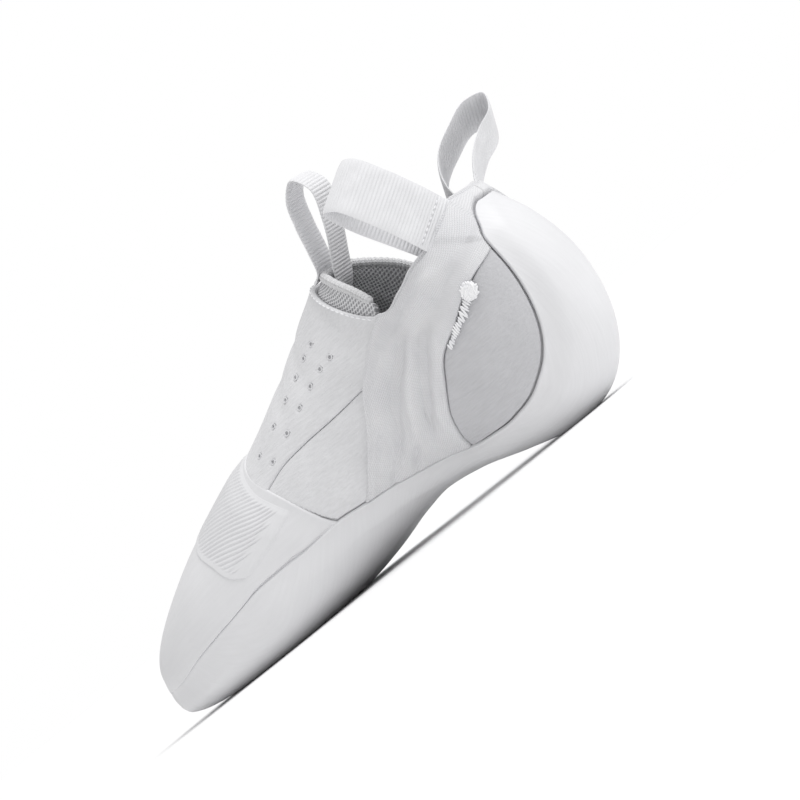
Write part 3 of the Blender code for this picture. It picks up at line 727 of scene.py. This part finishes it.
# Stretch bands: knit from the sole up to the collar, drawn into soft folds. Each fold is a bell-shaped
# trough or ridge with its width and height in millimetres and its line of along and turn, fading out at
# both ends.
bandForm = {"rows": 205, "columns": 98, "top": 1.1 * mm, "radius": 0.9 * mm,
            "roundEdges": ("left", "right", "top"), "buttTurn": 0.05,
            "fadeIn": (0.0, 0.25), "fadeOut": (1.0, 0.72)}
bandFolds = (
    (0.75, 0.9, ((7.2, 0.137), (7.75, 0.187), (8.12, 0.2165), (8.78, 0.2585), (9.85, 0.3055),
                 (11.48, 0.3265), (13.0, 0.324))),
    (2.3, 1.9, ((7.5, 0.150), (8.1, 0.206), (8.8, 0.249), (9.85, 0.296), (11.4, 0.317), (12.6, 0.316))),
    (1.9, -3.3, ((8.6, 0.185), (9.1, 0.230), (9.6, 0.262), (10.6, 0.292), (11.8, 0.300), (12.7, 0.300))),
    (1.8, 2.3, ((9.0, 0.170), (9.5, 0.224), (10.2, 0.262), (11.2, 0.285), (12.1, 0.291), (12.9, 0.290))),
    (1.8, -3.3, ((9.1, 0.140), (9.5, 0.190), (10.08, 0.238), (11.25, 0.273), (12.4, 0.281), (13.4, 0.274))),
    (1.6, 1.4, ((9.6, 0.175), (10.3, 0.228), (11.2, 0.259), (12.3, 0.268), (13.2, 0.258))),
    (1.6, -1.3, ((7.9, 0.135), (8.4, 0.175), (9.0, 0.215), (9.5, 0.248))),
    (1.4, -1.1, ((8.4, 0.130), (8.8, 0.165), (9.2, 0.198))),
    (2.6, 1.3, ((12.6, 0.305), (13.3, 0.292), (14.1, 0.262), (14.8, 0.222))),
    (2.4, -1.2, ((12.8, 0.282), (13.5, 0.262), (14.2, 0.225), (14.8, 0.180))),
)
collarHem = {"height": 0.55 * mm, "soft": 0.05,
             "line": np.array(((0.10, 14.95), (0.13, 15.03), (0.152, 15.12), (0.172, 15.21), (0.197, 15.24),
                               (0.22, 15.3)))}


def bandRelief(patch):
    along, side = patch["along"], folded(patch["turn"])
    aboveHem = along - readLine(collarHem["line"], side)
    total = collarHem["height"] * smoothStep(-collarHem["soft"], collarHem["soft"], aboveHem)
    for width, height, places in bandFolds:
        line = np.array(places)
        f = (along - line[0, 0]) / (line[-1, 0] - line[0, 0])
        fade = smoothStep(*bandForm["fadeIn"], f) * smoothStep(*bandForm["fadeOut"], f)
        reach = (side - readLine(line, along)) * turnLength
        total = total + height * mm * bell(reach, width * mm) * fade
    return total


bandRear = quarterFront[:-1] + [(14.80, 0.116), (15.02, 0.080), (15.18, 0.045), (15.28, 0.015),
                                (15.34, 0.0005), (15.55, 0.0005), (15.75, 0.0005)]
bandBottom, bandTop = onFeather(7.40, 9.55), onLine(collarLine, 0.328, 0.0005, 0.05)
bandEdges = (bandBottom, bandTop, joinedTo(bandFront, bandBottom, bandTop),
             joinedTo(bandRear, bandBottom, bandTop, -1))
addPanelPair("stretch_band", bandEdges, bandForm, bandKnit, "knit", bandRelief)

# Quarters: drop-shaped microfibre panels between stretch band and heel rubber, padded by half a sine across
# times half a sine upward. Their ends keep a small width.
quarterForm = {"rows": 110, "columns": 60, "top": 0.35 * mm, "radius": 0.9 * mm,
               "roundEdges": ("left", "right"), "padding": 0.8 * mm, "rearPlaces": 9, "rearGap": 0.001,
               "endWidth": 0.002}


def quarterRelief(patch):
    return quarterForm["padding"] * np.sin(np.pi * patch["across"]) * np.sin(np.pi * patch["upward"])


quarterAlong = np.linspace(quarterFront[0][0], quarterFront[-1][0], quarterForm["rearPlaces"])
quarterRear = list(zip(quarterAlong, readLine(slingshotLine, quarterAlong) + quarterForm["rearGap"]))
for end in (0, -1):
    quarterRear[end] = (quarterFront[end][0], quarterFront[end][1] - quarterForm["endWidth"])
quarterEdges = (*([quarterFront[end], quarterRear[end]] for end in (0, -1)), quarterFront, quarterRear)
addPanelPair("quarter", quarterEdges, quarterForm, quarterMicrofibre, "microfibre", quarterRelief)

# Rubber sole and heel: one moulded surface in two pieces. Thickness is largest under the foot, falls as the
# fourth power of the share across to the edge, and the last half millimetre is rounded. Nothing goes below
# the floor.
rubberForm = {"gap": 0.4 * mm, "middle": 4.8 * mm, "rim": 2.4 * mm, "archRim": 1.3 * mm,
              "heelMiddle": 3.6 * mm, "heelRim": 1.2 * mm, "tip": 1.8 * mm, "tipEnd": 1.4, "fullRim": 5.0,
              "thinning": 13.0, "edgeRadius": 0.5 * mm, "edgeFall": 9.0 * mm, "toeEdge": 1.3 * mm,
              "sideEdge": 0.6 * mm, "edgeBlend": (5.9, 7.0), "edgeKeep": 0.72, "keepBlend": (6.4, 5.6),
              "under": -0.2 * mm, "crowding": 0.6,
              "soleRows": 210, "soleCrowding": 1.15, "heelRows": 150, "heelCrowding": 1.3, "columns": 110}


def rubberThickness(along, across):
    form = rubberForm
    forefoot = np.clip((soleEnd - along) / (soleEnd - form["fullRim"]), 0, 1)
    rim = form["archRim"] + (form["rim"] - form["archRim"]) * forefoot
    middle = form["heelMiddle"] + (form["middle"] - form["heelMiddle"]) * forefoot
    top = np.clip((along - form["thinning"]) / (heelEnd - form["thinning"]), 0, 1)
    middle = middle + (form["heelRim"] - middle) * top ** 2
    rim = np.minimum(rim, middle)
    thick = rim + (middle - rim) * (1 - across ** 4)
    return form["tip"] + (thick - form["tip"]) * np.clip(along / form["tipEnd"], 0, 1)


def addRubber(name, steps, line, node, roundEdges):
    form = rubberForm
    across = 2 * crowded(form["columns"], form["crowding"])[None, :] - 1
    turn = across * readLine(line, steps[:, None])
    along = np.broadcast_to(steps[:, None], turn.shape)
    base = lastPoint(along, turn, form["gap"])
    rounding = roundedEdge(edgeDistance(base, roundEdges), form["edgeRadius"])
    nearEdge = smoothStep(0.0, form["edgeFall"], edgeDistance(base, ("left", "right")))
    beside = smoothStep(*form["edgeBlend"], along)
    edgeThick = form["toeEdge"] + (form["sideEdge"] - form["toeEdge"]) * beside
    thick = edgeThick + np.maximum(rubberThickness(along, across) - edgeThick, 0) * nearEdge
    keep = form["edgeKeep"] * smoothStep(*form["keepBlend"], along)
    outer = lastPoint(along, turn, form["gap"] + thick * (keep + (1 - keep) * rounding))
    outer[..., 2] = np.maximum(outer[..., 2], 0.0)
    return addSlab(name, outer, lastPoint(along, turn, form["under"]), soleRubber, [node])


soleSteps = soleEnd * np.linspace(0, 1, rubberForm["soleRows"]) ** rubberForm["soleCrowding"]
addRubber("outsole_rubber", soleSteps, featherLine, "outsole", ("left", "right"))
heelShare = 1 - (1 - np.linspace(0, 1, rubberForm["heelRows"])) ** rubberForm["heelCrowding"]
heelSteps = soleEnd + (heelEnd - soleEnd) * heelShare
addRubber("heel_cup_rubber", heelSteps, slingshotLine, "heel_cup", ("left", "right", "top"))

# Toe cap: thin rubber over the toes, skived to its rear edge by a smooth step, with the same groove beside
# the sole and its lower edge tucked under it.
toeForm = {"rows": 120, "columns": 150, "crowding": (0.6, 0.8), "gap": 0.4 * mm, "thick": 1.3 * mm,
           "edge": 0.15 * mm, "skive": 9.0 * mm, "edgeRadius": 0.35 * mm, "edgeGap": -0.004,
           "dipBlend": (4.4, 5.8), "tuck": 0.8 * mm, "tuckEdge": (0.1 * mm, -0.4 * mm),
           "tuckBlend": (1.0, 5.0), "sunkShare": 0.9, "rearShare": 0.05, "under": -0.2 * mm}


def toeLift(along, turn, form):
    side = folded(turn)
    rear = (readLine(toeRubberLine, side) - along) * sectionLength
    skived = form["edge"] + (form["thick"] - form["edge"]) * smoothStep(0, form["skive"], rear)
    seam = (side - readLine(featherLine, along)) * turnLength - grooveForm["away"]
    dip = form["thick"] * bell(np.maximum(seam, 0), grooveForm["width"])
    dip = dip * smoothStep(*form["dipBlend"], along)
    tuck = form["tuck"] * smoothStep(*form["tuckEdge"], seam) * smoothStep(*form["tuckBlend"], along)
    return form["gap"] + skived - np.minimum(dip + tuck, form["sunkShare"] * skived)


def makeToeCap(form):
    share = crowded(form["rows"], form["crowding"][0])[:, None]
    across = crowded(form["columns"], form["crowding"][1])[None, :]
    first = toeRubberLine[0, 0]
    along = share * readLine(toeRubberLine, first + folded(across) * (1 - 2 * first))
    edge = readLine(featherLine, along) + form["edgeGap"]
    turn = edge + across * (1 - 2 * edge)
    rear = roundedEdge(edgeDistance(lastPoint(along, turn, form["gap"]), ("top",)), form["edgeRadius"])
    lift = toeLift(along, turn, form) * (form["rearShare"] + (1 - form["rearShare"]) * rear)
    inner = lastPoint(along, turn, form["under"])
    return addSlab("toe_cap_rubber", lastPoint(along, turn, lift), inner, toeRubber, ["toe_cap"])


makeToeCap(toeForm)

# Toe tip: a rounded nose that closes the front rim between sole and toe cap. Each of its lines is a Hermite
# curve that leaves the rubber's face straight on and ends square to the nose's axis.
tipForm = {"rings": 22, "columns": 96, "start": 0.75, "step": 0.08, "nose": 1.6 * mm, "end": 0.985,
           "girth": 48 * mm, "sink": 0.4 * mm, "proud": 0.04 * mm}


# Outer face of sole and toe cap near the tip, as these two pieces have it, a little proud of them.
def tipFace(along, turn, sunk=0.0):
    side = folded(turn)
    feather = readLine(featherLine, along)
    thick = rubberThickness(along, np.clip(side / feather, 0, 1))
    inwards = (feather - side) * tipForm["girth"]
    thick = np.maximum(thick - rubberForm["toeEdge"], 0) * smoothStep(0.0, rubberForm["edgeFall"], inwards)
    keep = rubberForm["edgeKeep"]
    rounding = keep + (1 - keep) * roundedEdge(np.maximum(inwards, 0), rubberForm["edgeRadius"])
    sole = rubberForm["gap"] + (rubberForm["toeEdge"] + thick) * rounding
    cap = toeForm["gap"] + toeForm["thick"]
    return lastPoint(along, turn, np.where(side < feather, sole, cap) + tipForm["proud"] - sunk)


def makeToeTip(form):
    turn = np.linspace(0, 1, form["columns"], endpoint=False)
    place = np.full(turn.shape, form["start"])
    start = tipFace(place, turn)
    hidden = tipFace(place + form["step"], turn, form["sink"])
    leaving = unit(start - tipFace(place + form["step"], turn))
    rim = tipFace(np.zeros(turn.shape), turn)
    nose = np.array((rim[:, 0].min() - form["nose"], rim[:, 1].mean(), rim[:, 2].mean()))
    inwards = unit((nose - start) * np.array((0, 1, 1)))
    reach = np.linalg.norm(nose - start, axis=1, keepdims=True)
    share = np.linspace(0, form["end"], form["rings"])[:, None, None]
    points = hermite(share, start, nose, leaving * reach, inwards * reach)
    points = np.concatenate((hidden[None], points))
    number, quads = ringQuads(points.shape[:2])
    faces = quads.tolist() + [number[0][::-1].tolist(), number[-1].tolist()]
    return addPiece("toe_tip_rubber", points, faces, toeRubber)


makeToeTip(tipForm)

# Hooking patch: raised by a step over the toe cap with a lip at its low edge. Ridges run down and back over
# the side: a wave of the length along the shoe less the length down its side. They end at a zigzag line,
# beyond which the patch sinks into the toe cap.
patchForm = {"rows": 115, "columns": 240, "crowding": 0.3, "lip": 0.7 * mm, "pitch": 1.8 * mm,
             "ridge": 0.55 * mm, "mean": 0.7, "step": 0.5 * mm, "sunk": 0.5 * mm, "lean": (0.54, 0.84),
             "zigzag": 0.012, "edgeTurn": 0.296, "edgeSoft": 0.012, "ridgesFrom": (0.014, 0.020),
             "lowPlain": 3.0 * mm, "highPlain": 2.6 * mm, "rearFall": 3 * mm, "rearSink": 0.5 * mm,
             "rearGap": 0.02}
patchLow = [(5.55, 0.284), (5.30, 0.289), (4.93, 0.312), (4.70, 0.348), (4.45, 0.388), (4.30, 0.440),
            (4.25, 0.500)]
patchLow = patchLow + mirrored(patchLow[:-1])[::-1]


def makePatch(form):
    high = onLine(toeRubberLine, patchLow[0][1], patchLow[-1][1], form["rearGap"])
    along, turn = coonsPatch(patchLow, high, [patchLow[0], high[0]], [patchLow[-1], high[-1]], form["rows"],
                             form["columns"], form["crowding"])
    down, over = gridLengths(lastPoint(along, turn, 0.0))
    toRear = down[-1:] - down
    phase = (form["lean"][0] * down - form["lean"][1] * np.abs(over - over[:, -1:] / 2)) / form["pitch"]
    teeth = form["zigzag"] * (2 * np.abs(np.mod(phase / 2, 1.0) - 0.5) - 0.5)
    fromEdge = folded(turn) - form["edgeTurn"]
    shown = smoothStep(-form["edgeSoft"], 0.0, fromEdge) * roundedEdge(down, form["lip"])
    ridged = smoothStep(*form["ridgesFrom"], fromEdge + teeth) * shown
    for plain, distance in ((form["lowPlain"], down), (form["highPlain"], toRear)):
        ridged = ridged * smoothStep(plain - mm, plain, distance)
    raised = form["step"] * shown * smoothStep(0.0, form["rearFall"], toRear) - form["sunk"] * (1 - shown)
    ridges = form["ridge"] * (np.sqrt(0.5 + 0.5 * np.sin(2 * np.pi * phase)) - form["mean"]) * ridged
    cap = toeLift(along, turn, toeForm) - form["sunk"] * (1 - smoothStep(0.0, form["rearSink"], toRear))
    outer = lastPoint(along, turn, cap + raised + ridges)
    return addSlab("toe_patch", outer, lastPoint(along, turn, cap - 2 * form["sunk"]), toeRubber)


makePatch(patchForm)

# Insole: felt board inside, on the turned-in hem. Its rim thins as a quarter circle.
insoleForm = {"rows": 70, "columns": 40, "edge": 0.78, "start": 1.6, "end": 10.9, "gap": 0.3 * mm,
              "thick": 1.8 * mm, "edgeRadius": 1.5 * mm, "edgeShare": 0.2}


def makeInsole(form):
    steps = np.linspace(form["start"], form["end"], form["rows"])[:, None]
    turn = np.linspace(-1, 1, form["columns"])[None, :] * form["edge"] * readLine(featherLine, steps)
    seat = -lastForm["wall"] - form["gap"]
    below = lastPoint(steps, turn, seat)
    rounding = roundedEdge(edgeDistance(below, ("bottom", "top", "left", "right")), form["edgeRadius"])
    lift = seat - form["thick"] * (form["edgeShare"] + (1 - form["edgeShare"]) * rounding)
    return addSlab("insole_felt", lastPoint(steps, turn, lift), below, insoleFelt, ["insole"])


makeInsole(insoleForm)

# Tongue: spacer mesh lining the throat, with a rolled binding along its upper edge. The binding's wrap is a
# wave that winds round it, and its radius falls near the ends.
tongueForm = {"rows": 90, "columns": 100, "crowding": 0.3, "start": 8.8, "edge": 0.335, "gap": 0.2 * mm,
              "thick": 1.8 * mm}
bindingForm = {"count": 170, "sides": 18, "inset": 0.004, "radius": 1.7 * mm, "pitch": 2.1 * mm,
               "wrap": 0.10, "normalStep": 5 * mm, "endLength": 2 * mm, "endShare": 0.35}


# Share of the full radius along a rolled edge: it starts from endShare at both ends.
def rolledEnds(length, form):
    return np.minimum(1, np.minimum(length, length[-1] - length) / form["endLength"] + form["endShare"])


def makeTongue(form, binding):
    share = crowded(form["rows"], form["crowding"])[:, None]
    turn = np.linspace(form["edge"], 1 - form["edge"], form["columns"])[None, :]
    along = form["start"] + share * (readLine(tongueLine, folded(turn)) - form["start"])
    lift = -lastForm["wall"] - form["gap"]
    outer, inner = (lastPoint(along, turn, height) for height in (lift, lift - form["thick"]))
    addSlab("tongue_knit", outer, inner, tongueMesh, ["tongue"], level=True)
    inset = form["edge"] + binding["inset"]
    turn = np.linspace(inset, 1 - inset, binding["count"])
    along = readLine(tongueLine, folded(turn))
    path = lastPoint(along, turn, lift - form["thick"] / 2)
    above, below = (lastPoint(along, turn, lift + way * binding["normalStep"]) for way in (1, -1))
    out = unit(above - below)
    length = pathLength(path)[:, None]
    angle = np.linspace(0, 1, binding["sides"], endpoint=False)[None, :]
    wrap = 1 + binding["wrap"] * np.sin(2 * np.pi * (length / binding["pitch"] + angle))
    radius = binding["radius"] * wrap * rolledEnds(length, binding)
    return addTube("tongue_binding", path, out, radius, tongueBinding)


makeTongue(tongueForm, bindingForm)

# Collar binding: a soft rolled edge round the ankle, from one side of the throat by the heel to the other.
# Its ripple is the sum of two waves along it, each with its height, length and phase.
collarForm = {"count": 260, "sides": 16, "radius": 1.45 * mm, "lift": -0.85 * mm, "reach": 0.334,
              "drop": 0.03, "endLength": 4 * mm, "endShare": 0.3,
              "ripple": ((0.05, 5.2 * mm, 0), (0.04, 2.3 * mm, 1))}


def makeCollar(form):
    turn = np.linspace(form["reach"], -form["reach"], form["count"])
    along = readLine(collarLine, folded(turn)) - form["drop"]
    path = lastPoint(along, np.mod(turn, 1.0), form["lift"])
    out = surfaceFrame(along, np.mod(turn, 1.0), form["lift"])[2]
    run = unit(np.gradient(path, axis=0))
    out = unit(out - run * np.sum(out * run, axis=1, keepdims=True))
    length = pathLength(path)
    ripple = 1 + sum(height * np.sin(length / wave + phase) for height, wave, phase in form["ripple"])
    radius = (form["radius"] * rolledEnds(length, form) * ripple)[:, None] * np.ones((1, form["sides"]))
    return addTube("collar_binding", path, out, radius, collarKnit)


makeCollar(collarForm)

# Pull loops: webbing folded over an edge and sewn to both faces. Each route lies in the plane across the
# edge: out from the edge's face and up above the edge, in metres.
loopForm = {"thickness": 1.3 * mm, "rib": 0.30 * mm, "ribPitch": 1.35 * mm, "selvage": 0.75, "rows": 560,
            "columns": 16, "crowding": 0.7, "foot": 16.0 * mm, "seatGap": 0.3 * mm, "sharp": 70.0}
heelRouteMedial = ((-0.0026, -0.010), (-0.0020, -0.002), (0.006, 0.009), (0.013, 0.020), (0.016, 0.031),
                   (0.008, 0.037), (-0.001, 0.029), (-0.006, 0.016), (-0.0095, 0.004), (-0.0105, -0.006))
heelRouteLateral = ((-0.0026, -0.010), (-0.0020, -0.002), (0.007, 0.006), (0.018, 0.010), (0.029, 0.012),
                    (0.033, 0.017), (0.028, 0.021), (0.016, 0.021), (0.003, 0.018), (-0.007, 0.009),
                    (-0.0105, -0.005))
tongueRoute = ((0.0001, -0.0045), (0.0003, -0.001), (0.006, 0.005), (0.015, 0.011), (0.023, 0.018),
               (0.025, 0.025), (0.018, 0.027), (0.008, 0.020), (-0.001, 0.010), (-0.0075, 0.001),
               (-0.0095, -0.007))
loops = {
    "heel_loop_medial": {"line": collarLine, "lift": 0.0, "turn": 0.145, "width": 20 * mm,
                         "route": heelRouteMedial, "seam": 13.6 * mm},
    "heel_loop_lateral": {"line": collarLine, "lift": 0.0, "turn": 0.855, "width": 20 * mm,
                          "route": heelRouteLateral, "seam": 13.6 * mm},
    "tongue_loop": {"line": tongueLine, "lift": -lastForm["wall"] - 0.5 * mm, "turn": 0.5, "width": 14 * mm,
                    "route": tongueRoute, "seam": 3.0 * mm},
}


# Point of an edge line at a turn, the directions along the edge, up and out of the surface there, and the
# edge's bend: how far it falls away from straight, over the square of the distance along it.
def edgeFrame(line, lift, turn):
    turnStep, alongStep = 0.02, 0.4
    along = np.interp(folded(turn), line[:, 0], line[:, 1])
    point = lastPoint(along, turn, lift)
    before, after = (lastPoint(np.interp(folded(near), line[:, 0], line[:, 1]), near, lift)
                     for near in (turn - turnStep, turn + turnStep))
    sideways = unit(after - before)
    upwards = point - lastPoint(along - alongStep, turn, lift)
    upwards = unit(upwards - sideways * np.dot(upwards, sideways))
    outwards = np.cross(upwards, sideways)
    outwards = outwards * np.sign(np.dot(outwards, lastPoint(along, turn, lift + mm) - point))
    bend = ((before + after) / 2 - point) / (np.linalg.norm(after - before) / 2) ** 2
    return point, sideways, upwards, outwards, bend


# A row of stitches holds the foot of each loop, pressed into the webbing.
loopStitch = {"pitch": 2.1 * mm, "half": 0.75 * mm, "radius": 0.30 * mm, "press": 0.35 * mm,
              "pressWidth": 0.5 * mm}


# Webbing: a flat tape carried along its route, its feet bent with the edge. Both faces are ribbed by a wave
# along the route, and the thickness falls to the selvages as an eighth power.
def makeLoop(name, spec, form, stitch):
    seam, sideways, upwards, outwards, bend = edgeFrame(spec["line"], spec["lift"], np.array(spec["turn"]))
    route = curveThrough(spec["route"], np.linspace(0, 1, form["rows"]), (1.0, 1.0))
    clear = form["seatGap"] + form["thickness"] / 2
    path = seam + (route[:, :1] + clear) * outwards + route[:, 1:] * upwards
    face = np.cross(unit(np.gradient(path, axis=0)), sideways)
    length = pathLength(path)
    across = 2 * crowded(form["columns"], form["crowding"]) - 1
    ribs = np.abs(np.sin(np.pi * length / form["ribPitch"]))[:, None]
    pressed = stitch["press"] * bell(length - spec["seam"], stitch["pressWidth"])[:, None]
    half = form["thickness"] / 2 - form["rib"] * (1 - ribs) - pressed
    half = (half * (1 - form["selvage"] * across[None, :] ** 8))[..., None]
    side = (across * spec["width"] / 2)[None, :, None]
    foot = np.maximum(smoothStep(form["foot"], 0, length), smoothStep(form["foot"], 0, length[-1] - length))
    middle = path[:, None] + side * sideways + foot[:, None, None] * side ** 2 * bend
    front, back = middle + face[:, None] * half, middle - face[:, None] * half
    addSlab(name + "_webbing", front, back, loopGrosgrain, [name], form["sharp"])
    count = int(spec["width"] / stitch["pitch"]) - 1
    place = ((np.arange(count) - (count - 1) / 2) * stitch["pitch"])[:, None]
    row = np.searchsorted(length, spec["seam"])
    out = face[row] * np.sign(np.dot(face[row], outwards))
    height = form["thickness"] / 2 - stitch["press"] + stitch["radius"] / 2
    centres = path[row] + out * height + place * sideways + foot[row] * place ** 2 * bend
    runs, outs = (np.broadcast_to(way, (count, 3)) for way in (sideways, out))
    addStitches(name + "_stitches", centres, runs, outs, stitch["half"], stitch["radius"])


for loopName, loopSpec in loops.items():
    makeLoop(loopName, loopSpec, loopForm, loopStitch)

# Vamp hem: a line of stitches just below the vamp's upper edge.
hemStitch = {"start": 0.332, "drop": 0.16, "pitch": 2.6 * mm, "half": 0.95 * mm, "radius": 0.26 * mm,
             "lift": 0.05 * mm, "places": 400}


def sewVampHem(stitch):
    lift = vampForm["top"] + stitch["lift"]
    turn = np.linspace(stitch["start"], 1 - stitch["start"], stitch["places"])
    along = readLine(collarLine, folded(turn)) - stitch["drop"]
    length = pathLength(lastPoint(along, turn, lift))
    at = np.arange(stitch["pitch"] / 2, length[-1], stitch["pitch"])
    turn, along = np.interp(at, length, turn), np.interp(at, length, along)
    centres = lastPoint(along, turn, lift)
    runs = unit(np.gradient(centres, axis=0))
    outs = surfaceFrame(along, turn)[2]
    addStitches("vamp_hem_stitches", centres, runs, outs, stitch["half"], stitch["radius"])


sewVampHem(hemStitch)

# Bar tacks over the quarter's front edge: a round head of short crossing threads, spread as seeds in a
# sunflower, and a tail of separate slanting threads that gets narrower. Sines of their numbers make the
# threads uneven.
tackForm = {"spine": [(14.10, 0.190), (13.85, 0.207), (13.45, 0.226), (12.95, 0.246), (12.45, 0.254)],
            "headThreads": 60, "headRadius": 3.5 * mm, "headHalf": 1.5 * mm, "headAt": 0.12,
            "headInset": 0.3, "headLimit": 1.06, "golden": 2.399963, "heading": (0.9, 0.8),
            "tailThreads": 19, "tailFrom": 0.25, "tailHalf": 2.2 * mm, "taper": (1.1, 0.6),
            "radius": 0.46 * mm, "lift": 1.5 * mm, "pile": 0.35 * mm,
            "slant": 0.42, "slantChange": 0.22, "slantWave": 9.7, "headingWave": 2.3,
            "heapChange": 0.5, "heapWave": 3.1, "tailChange": 0.2, "tailWave": 5.3}


def sewBarTack(name, spine, form):
    middle = curveThrough(spine, np.array((form["headAt"],)))[0]
    forward, around, out = surfaceFrame(*middle)
    order = np.arange(form["headThreads"])[:, None]
    angle = order * form["golden"]
    spread = form["headRadius"] - form["headInset"] * form["headHalf"]
    away = spread * np.sqrt((order + 0.5) / form["headThreads"])
    ray = np.cos(angle) * forward + np.sin(angle) * around
    heading = form["heading"][0] + form["heading"][1] * np.sin(form["headingWave"] * order)
    headRuns = np.cos(heading) * around - np.sin(heading) * forward
    uneven = form["heapChange"] * np.sin(form["heapWave"] * order)
    heap = form["pile"] * (1 - (away / form["headRadius"]) ** 2 + uneven)
    headCentres = lastPoint(*middle, form["lift"]) + away * ray + heap * out
    headHalf = np.minimum(form["headHalf"], form["headLimit"] * form["headRadius"] - away[:, 0])
    order = np.arange(form["tailThreads"])
    share = np.linspace(form["tailFrom"], 1, form["tailThreads"])
    along, turn = curveThrough(spine, share).T
    tailCentres = lastPoint(along, turn, form["lift"])
    tailOuts = surfaceFrame(along, turn)[2]
    run = unit(np.gradient(tailCentres, axis=0))
    slant = form["slant"] + form["slantChange"] * np.sin(form["slantWave"] * order)[:, None]
    tailRuns = unit(np.cross(tailOuts, run) + slant * run)
    taper = form["taper"][0] - form["taper"][1] * share
    tailHalf = form["tailHalf"] * taper * (1 + form["tailChange"] * np.sin(form["tailWave"] * order))
    outs = np.concatenate((np.broadcast_to(out, headRuns.shape), tailOuts))
    runs = np.concatenate((headRuns, tailRuns))
    centres = np.concatenate((headCentres, tailCentres))
    addStitches(name, centres, runs, outs, np.concatenate((headHalf, tailHalf)), form["radius"])


sewBarTack("bar_tack_medial", tackForm["spine"], tackForm)
sewBarTack("bar_tack_lateral", mirrored(tackForm["spine"]), tackForm)

# Floor, light and camera. A wide soft sun stands for a large softbox above the heel. Camera rays see a
# backdrop as bright as the lit floor, so that no horizon shows.
stageForm = {"size": 400.0, "floor": "#f8f8f8", "world": 0.68, "backdrop": 1.0,
             "sunFrom": (0.58, 0.06, 0.81), "sunPower": 1.75, "sunSpread": 36.0}


def makeStage(form):
    half = form["size"] / 2
    mesh = bpy.data.meshes.new("floor")
    corners = [(-half, -half, 0), (half, -half, 0), (half, half, 0), (-half, half, 0)]
    mesh.from_pydata(corners, [], [(0, 1, 2, 3)])
    paper = {"Roughness": 0.9, "Base Color": toLinear(form["floor"])}
    mesh.materials.append(newMaterial("matt paper floor", paper)[0])
    floor = addObject("floor", mesh)
    world = bpy.data.worlds.new("studio")
    world.use_nodes = True
    tree = world.node_tree
    path = addNode(tree, "LightPath")
    light, backdrop = (addNode(tree, "Background", {"Color": (1, 1, 1, 1), "Strength": form[kind]})
                       for kind in ("world", "backdrop"))
    seen = addNode(tree, "MixShader", {}, {0: path.outputs["Is Camera Ray"], 1: light, 2: backdrop})
    linkInputs(tree.nodes["World Output"], {"Surface": seen})
    bpy.context.scene.world = world


makeStage(stageForm)


# Axes of an object whose -Z looks from place to target: its Z is the way back, its X level with the floor.
def facing(place, target):
    back = unit(np.asarray(place, float) - target)
    right = unit(np.cross((0, 0, 1.0), back))
    return right, np.cross(back, right), back


# Writes an object's three axes and its place into the columns of its world matrix.
def placeObject(item, place, axes):
    matrix = np.eye(4)
    matrix[:3, 0], matrix[:3, 1], matrix[:3, 2] = axes
    matrix[:3, 3] = place
    item.matrix_world = Matrix(matrix.tolist())


def addSun(form):
    data = bpy.data.lights.new("softSun", "SUN")
    data.energy = form["sunPower"]
    data.angle = np.radians(form["sunSpread"])
    placeObject(addObject("softSun", data), form["sunFrom"], facing(form["sunFrom"], np.zeros(3)))


addSun(stageForm)

# Camera: the photograph's angle round the shoe and its roll. The photograph looks up from below, so the
# camera here stays just above the floor. Its lens is sensor times distance over the width in view.
cameraForm = {"azimuth": 31.3, "roll": 39.1, "distance": 1.2, "height": 0.030, "view": 0.2895,
              "sensor": 36.0, "centre": (0.0187, 0.0102, 0.0456)}


def makeCamera(form):
    azimuth, roll = np.radians((form["azimuth"], form["roll"]))
    centre = np.array(form["centre"])
    rise = form["height"] - centre[2]
    level = np.sqrt(form["distance"] ** 2 - rise ** 2)
    place = centre + np.array((np.sin(azimuth) * level, -np.cos(azimuth) * level, rise))
    right, up, back = facing(place, centre)
    data = bpy.data.cameras.new("camera")
    data.sensor_width = form["sensor"]
    data.lens = form["sensor"] * form["distance"] / form["view"]
    camera = addObject("camera", data)
    turnedRight = right * np.cos(roll) - up * np.sin(roll)
    turnedUp = right * np.sin(roll) + up * np.cos(roll)
    placeObject(camera, place, (turnedRight, turnedUp, back))
    bpy.context.scene.camera = camera


makeCamera(cameraForm)
bpy.context.scene.view_settings.view_transform = "Standard"
print("stage, lights and camera set")
